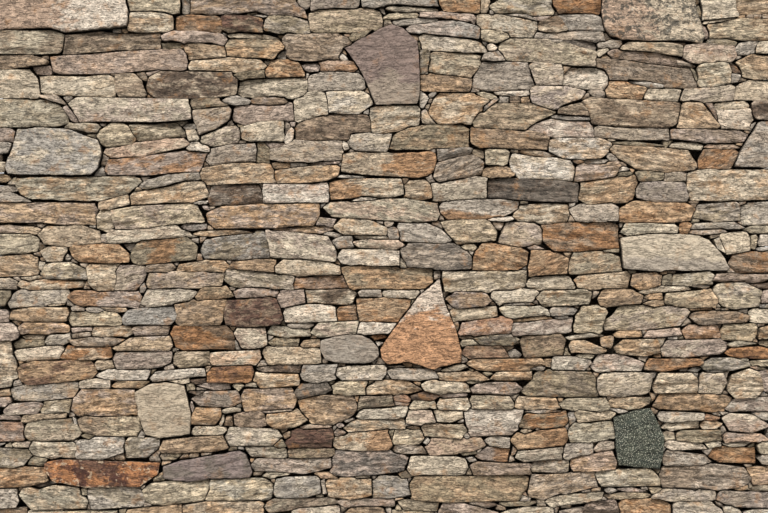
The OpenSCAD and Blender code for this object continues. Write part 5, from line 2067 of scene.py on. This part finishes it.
BAND_E = """
BU 20,421 25,416 66,413 66,417 45,419 28,422
PK/CR -15,415 18,417 20,420 -15,420
PK/RD -15,422 20,423 24,429 23,440 -15,441
OC/PG 24,434 28,425 38,420 72,420 80,434 70,441 30,440
WH 72,418 75,420 76,428 73,429
OC/BR@L 78,421 85,417 137,418 141,429 137,436 98,436 81,430
OL 81,436 86,434 94,436 88,440
CR/PK 12,445 18,442 29,443 28,447 14,447
PG -15,443 8,444 11,447 -15,447
OL/PG -15,449 28,451 31,455 22,465 12,468 -15,467
CR/OC 30,451 34,442 70,442 76,449 74,458 45,458 32,455
PG/WH 76,455 79,442 95,437 122,438 123,451 100,458 78,458
PG/OC 124,446 130,438 158,440 158,447 145,457 126,457
OL 30,460 34,457 46,459 42,465 28,465
TN/RU -15,469 30,467 45,470 48,480 30,485 -15,488
SL/PK 33,487 50,482 55,484 38,489
PG/WH -15,490 16,490 18,500 15,506 -15,507
OC/BU 20,495 24,490 50,486 79,490 86,502 84,508 32,509
OC 80,490 86,489 86,496 81,496
PG/OC 87,492 92,487 137,488 142,500 140,507 92,510
BR -15,510 24,510 26,528 -15,528
CR 28,513 60,513 62,528 28,528
OC 64,513 116,512 118,528 66,528
PG/PK 138,437 141,431 144,434 143,438
CR 219,425 223,415 224,420 221,427
CR 222,411 230,408 240,409 240,412 224,413
BR/PK 223,423 226,414 262,412 266,424 255,428 226,426
CR 192,433 195,428 222,427 226,431 220,435 196,436
CR/WG 226,437 230,429 275,430 281,437 273,445 230,445
TN/BR 160,449 164,442 190,439 220,435 226,448 215,451 163,453
OL/BR 160,457 165,454 180,455 175,459 162,460
OC 143,492 150,486 175,482 207,482 208,490 203,500 160,506 146,501
OC/CR 206,499 212,481 262,477 272,486 270,498 225,502
BU/TN 183,507 205,502 258,501 264,505 258,528 185,528
TN/BU 128,512 160,507 181,506 180,528 120,528
TN/CR 266,420 269,414 297,410 307,419 298,425 275,428
PK/CR 262,412 290,410 294,411 268,413
CR/PG 358,416 363,409 408,407 405,415 390,419 364,419
PG 344,421 352,419 354,420 346,423
CR/TN 346,428 355,421 403,420 404,428 375,430 350,431
PK 336,425 340,423 344,426 339,428
BR/PK 334,434 338,429 346,434 343,437 335,437
CR/RU@R 333,440 340,435 365,433 388,430 391,445 388,449 360,452 343,451 335,447
PP 300,428 310,425 331,427 328,429 304,430
DR/UM 286,444 291,433 300,430 330,430 334,438 330,447 290,448
BR 283,435 290,432 291,437 285,439
OL 274,446 281,440 286,446 278,449
OL/PG 246,449 284,449 287,455 280,459 252,457
OL/BR 287,454 291,449 333,450 335,455 310,460 290,459
WG/PK 253,465 258,460 330,460 332,468 305,473 256,470
PK/SL 331,471 335,453 345,450 392,452 407,459 403,471 355,476 335,475
CR/OC 262,477 270,472 289,475 270,479
TN/PP 315,474 330,474 337,479 320,478
PG/CR 275,493 277,478 318,477 320,492 300,499 277,497
WH 321,482 324,480 327,494 323,494
TN/CR 325,486 330,479 370,479 371,494 350,499 328,496
CR 355,477 368,476 370,478 357,479
WG/CR 373,484 380,478 405,479 410,494 390,498 374,497
BR/OC 265,507 272,500 333,499 337,503 315,508 270,511
PK/WG 337,503 345,501 393,501 394,507 345,507
CR/PK 293,513 300,508 338,508 340,528 292,528
TN/BR 345,515 352,509 382,509 390,528 346,528
OC 394,513 432,513 434,528 394,528
CR/PP 406,421 409,411 432,411 435,421 415,424
BR 407,428 415,426 422,429 412,430
CR 434,413 440,410 462,411 463,417 450,423 438,422
OC/BR 422,429 426,424 462,425 467,430 460,438 425,435
PG 464,436 467,433 470,437 467,439
WH/PK@B 465,413 471,410 522,411 518,428 512,434 471,436 468,428
OL 389,432 394,430 392,440
OC/CR 392,441 396,432 420,430 423,439 418,444 395,444
WG/BR 393,452 397,446 422,447 425,453 396,454
WH 424,443 428,439 431,441 427,445
PP/BU 426,447 431,440 480,439 484,445 470,452 432,455
PG/OL 486,441 492,438 510,439 508,447 490,445
OL/PG 460,454 476,452 477,454 464,456
PK/RU@R 478,457 488,449 512,450 516,455 514,463 488,462
CR 408,468 412,457 464,458 467,468 464,474 412,474
PG 467,459 472,458 477,461 470,462
BR/PK 472,467 477,463 530,465 530,473 475,475
OL/BR 399,474 405,472 412,477 402,479
OL/TN 410,486 415,478 470,478 529,477 526,492 518,500 490,500 455,501 412,499
OL/CR 400,503 410,501 438,502 436,511 405,510
PK/BR 440,512 445,504 465,505 498,513 500,528 438,528
UM 470,503 485,502 497,505 485,508
OL/BR 500,504 515,503 538,503 530,506 505,506
RU/OL 520,426 528,414 565,412 568,420 563,427 530,430
PG/TN 569,415 574,413 576,420 571,426
CR/OC 576,415 580,411 615,413 612,419 580,423
OC/OL 569,436 573,425 613,422 614,436 590,442 572,441
CR 521,432 526,430 533,431 525,434
PP 534,432 538,429 543,431 537,434
TN/RU@R 512,440 517,434 563,428 567,438 563,445 520,450
CR/WG 517,457 520,451 561,448 562,458 525,462
WG/CR 563,456 567,445 591,443 591,452 568,459
WH/PP 595,450 602,441 614,443 614,448 598,452
PP/TN 571,464 573,458 611,452 616,462 614,469 575,473
WG/OC 531,469 537,462 568,461 568,474 535,473
WG/TN 529,490 533,476 594,472 597,486 565,493 545,499 530,496
PP 523,495 526,493 528,497
OC/CR 597,476 600,471 650,470 661,480 660,485 603,486
WG/PG 605,492 610,488 618,491 610,494
PK/WG 618,490 632,489 648,492 630,493
OC/BR 606,497 630,493 651,496 645,499 610,499
CR/OC 548,503 555,498 603,494 600,501 565,504 552,507
TN/RU 620,506 625,500 660,501 673,508 672,528 622,528
UM/PK 583,512 590,505 614,502 620,511 620,528 583,528
CR/OL 502,514 525,509 552,509 555,528 503,528
UM 560,512 583,509 581,528 558,528
PG/CR 659,416 664,411 702,413 702,418 672,423 661,419
CR 663,428 668,423 700,423 700,428 668,430
RD 703,419 708,415 720,418 717,421 705,421
TN/CR 702,426 706,421 722,424 716,429 704,429
WH 720,412 729,413 723,415
PK/CR@T 724,419 730,415 755,416 766,425 750,432 731,431
PG/CR 754,414 768,412 790,412 790,420 762,419
OC/BR 664,435 668,431 675,434 675,440 665,440
OL/TN 677,435 683,431 720,431 722,440 700,441 678,440
WH/CR 665,446 669,441 703,445 707,449 672,449
OC/PG 706,443 722,443 722,447 710,448
PP/PK 724,438 730,433 760,435 767,440 740,441 726,442
CR/PG 725,445 730,442 756,443 755,448 730,447
RU 711,457 717,448 755,449 755,463 722,463
PG/BR 663,459 668,452 705,456 711,462 700,466 665,465
WG/BR@L 661,477 665,468 710,465 745,469 752,479 745,486 718,489 664,486
TN/PP 749,470 779,467 779,484 755,484
CR/OC 757,447 762,442 779,442 779,452 760,452
PG 759,459 763,456 779,456 779,465 763,464
TN/OC 736,490 748,486 749,489 740,492
CR/OC 752,491 760,486 790,488 790,492 758,492
WG/CR 652,498 660,491 685,489 715,492 717,499 690,502 660,499
WG 688,487 700,488 696,491
OC/BR 650,489 662,489 660,493 652,493
WG/PK 717,499 722,491 755,493 790,494 790,508 735,507
PG/CR 673,507 682,502 710,503 723,512 724,528 676,528
CR 724,509 732,507 741,514 742,528 726,528
CR/PG 745,514 757,510 790,511 790,528 745,528
"""


def main():
    rng = np.random.default_rng(SEED)
    make_camera()
    make_stage()
    face = stone_material("face_stone_split")
    looks = dict(landmark_materials(), plain=face)
    stones, landmarks, throughs = lay_front(rng)
    build_face("front", stones, face, rng)
    build_landmarks(landmarks, looks, rng)
    build_throughs(throughs, face, rng)
    build_face("back", stones + landmarks, face, rng)
    build_hearting(face)
    build_heads(face, rng)
    build_footings(face, rng)
    build_top(stone_material("weathered_stone", lichen=0.45), rng)


main()
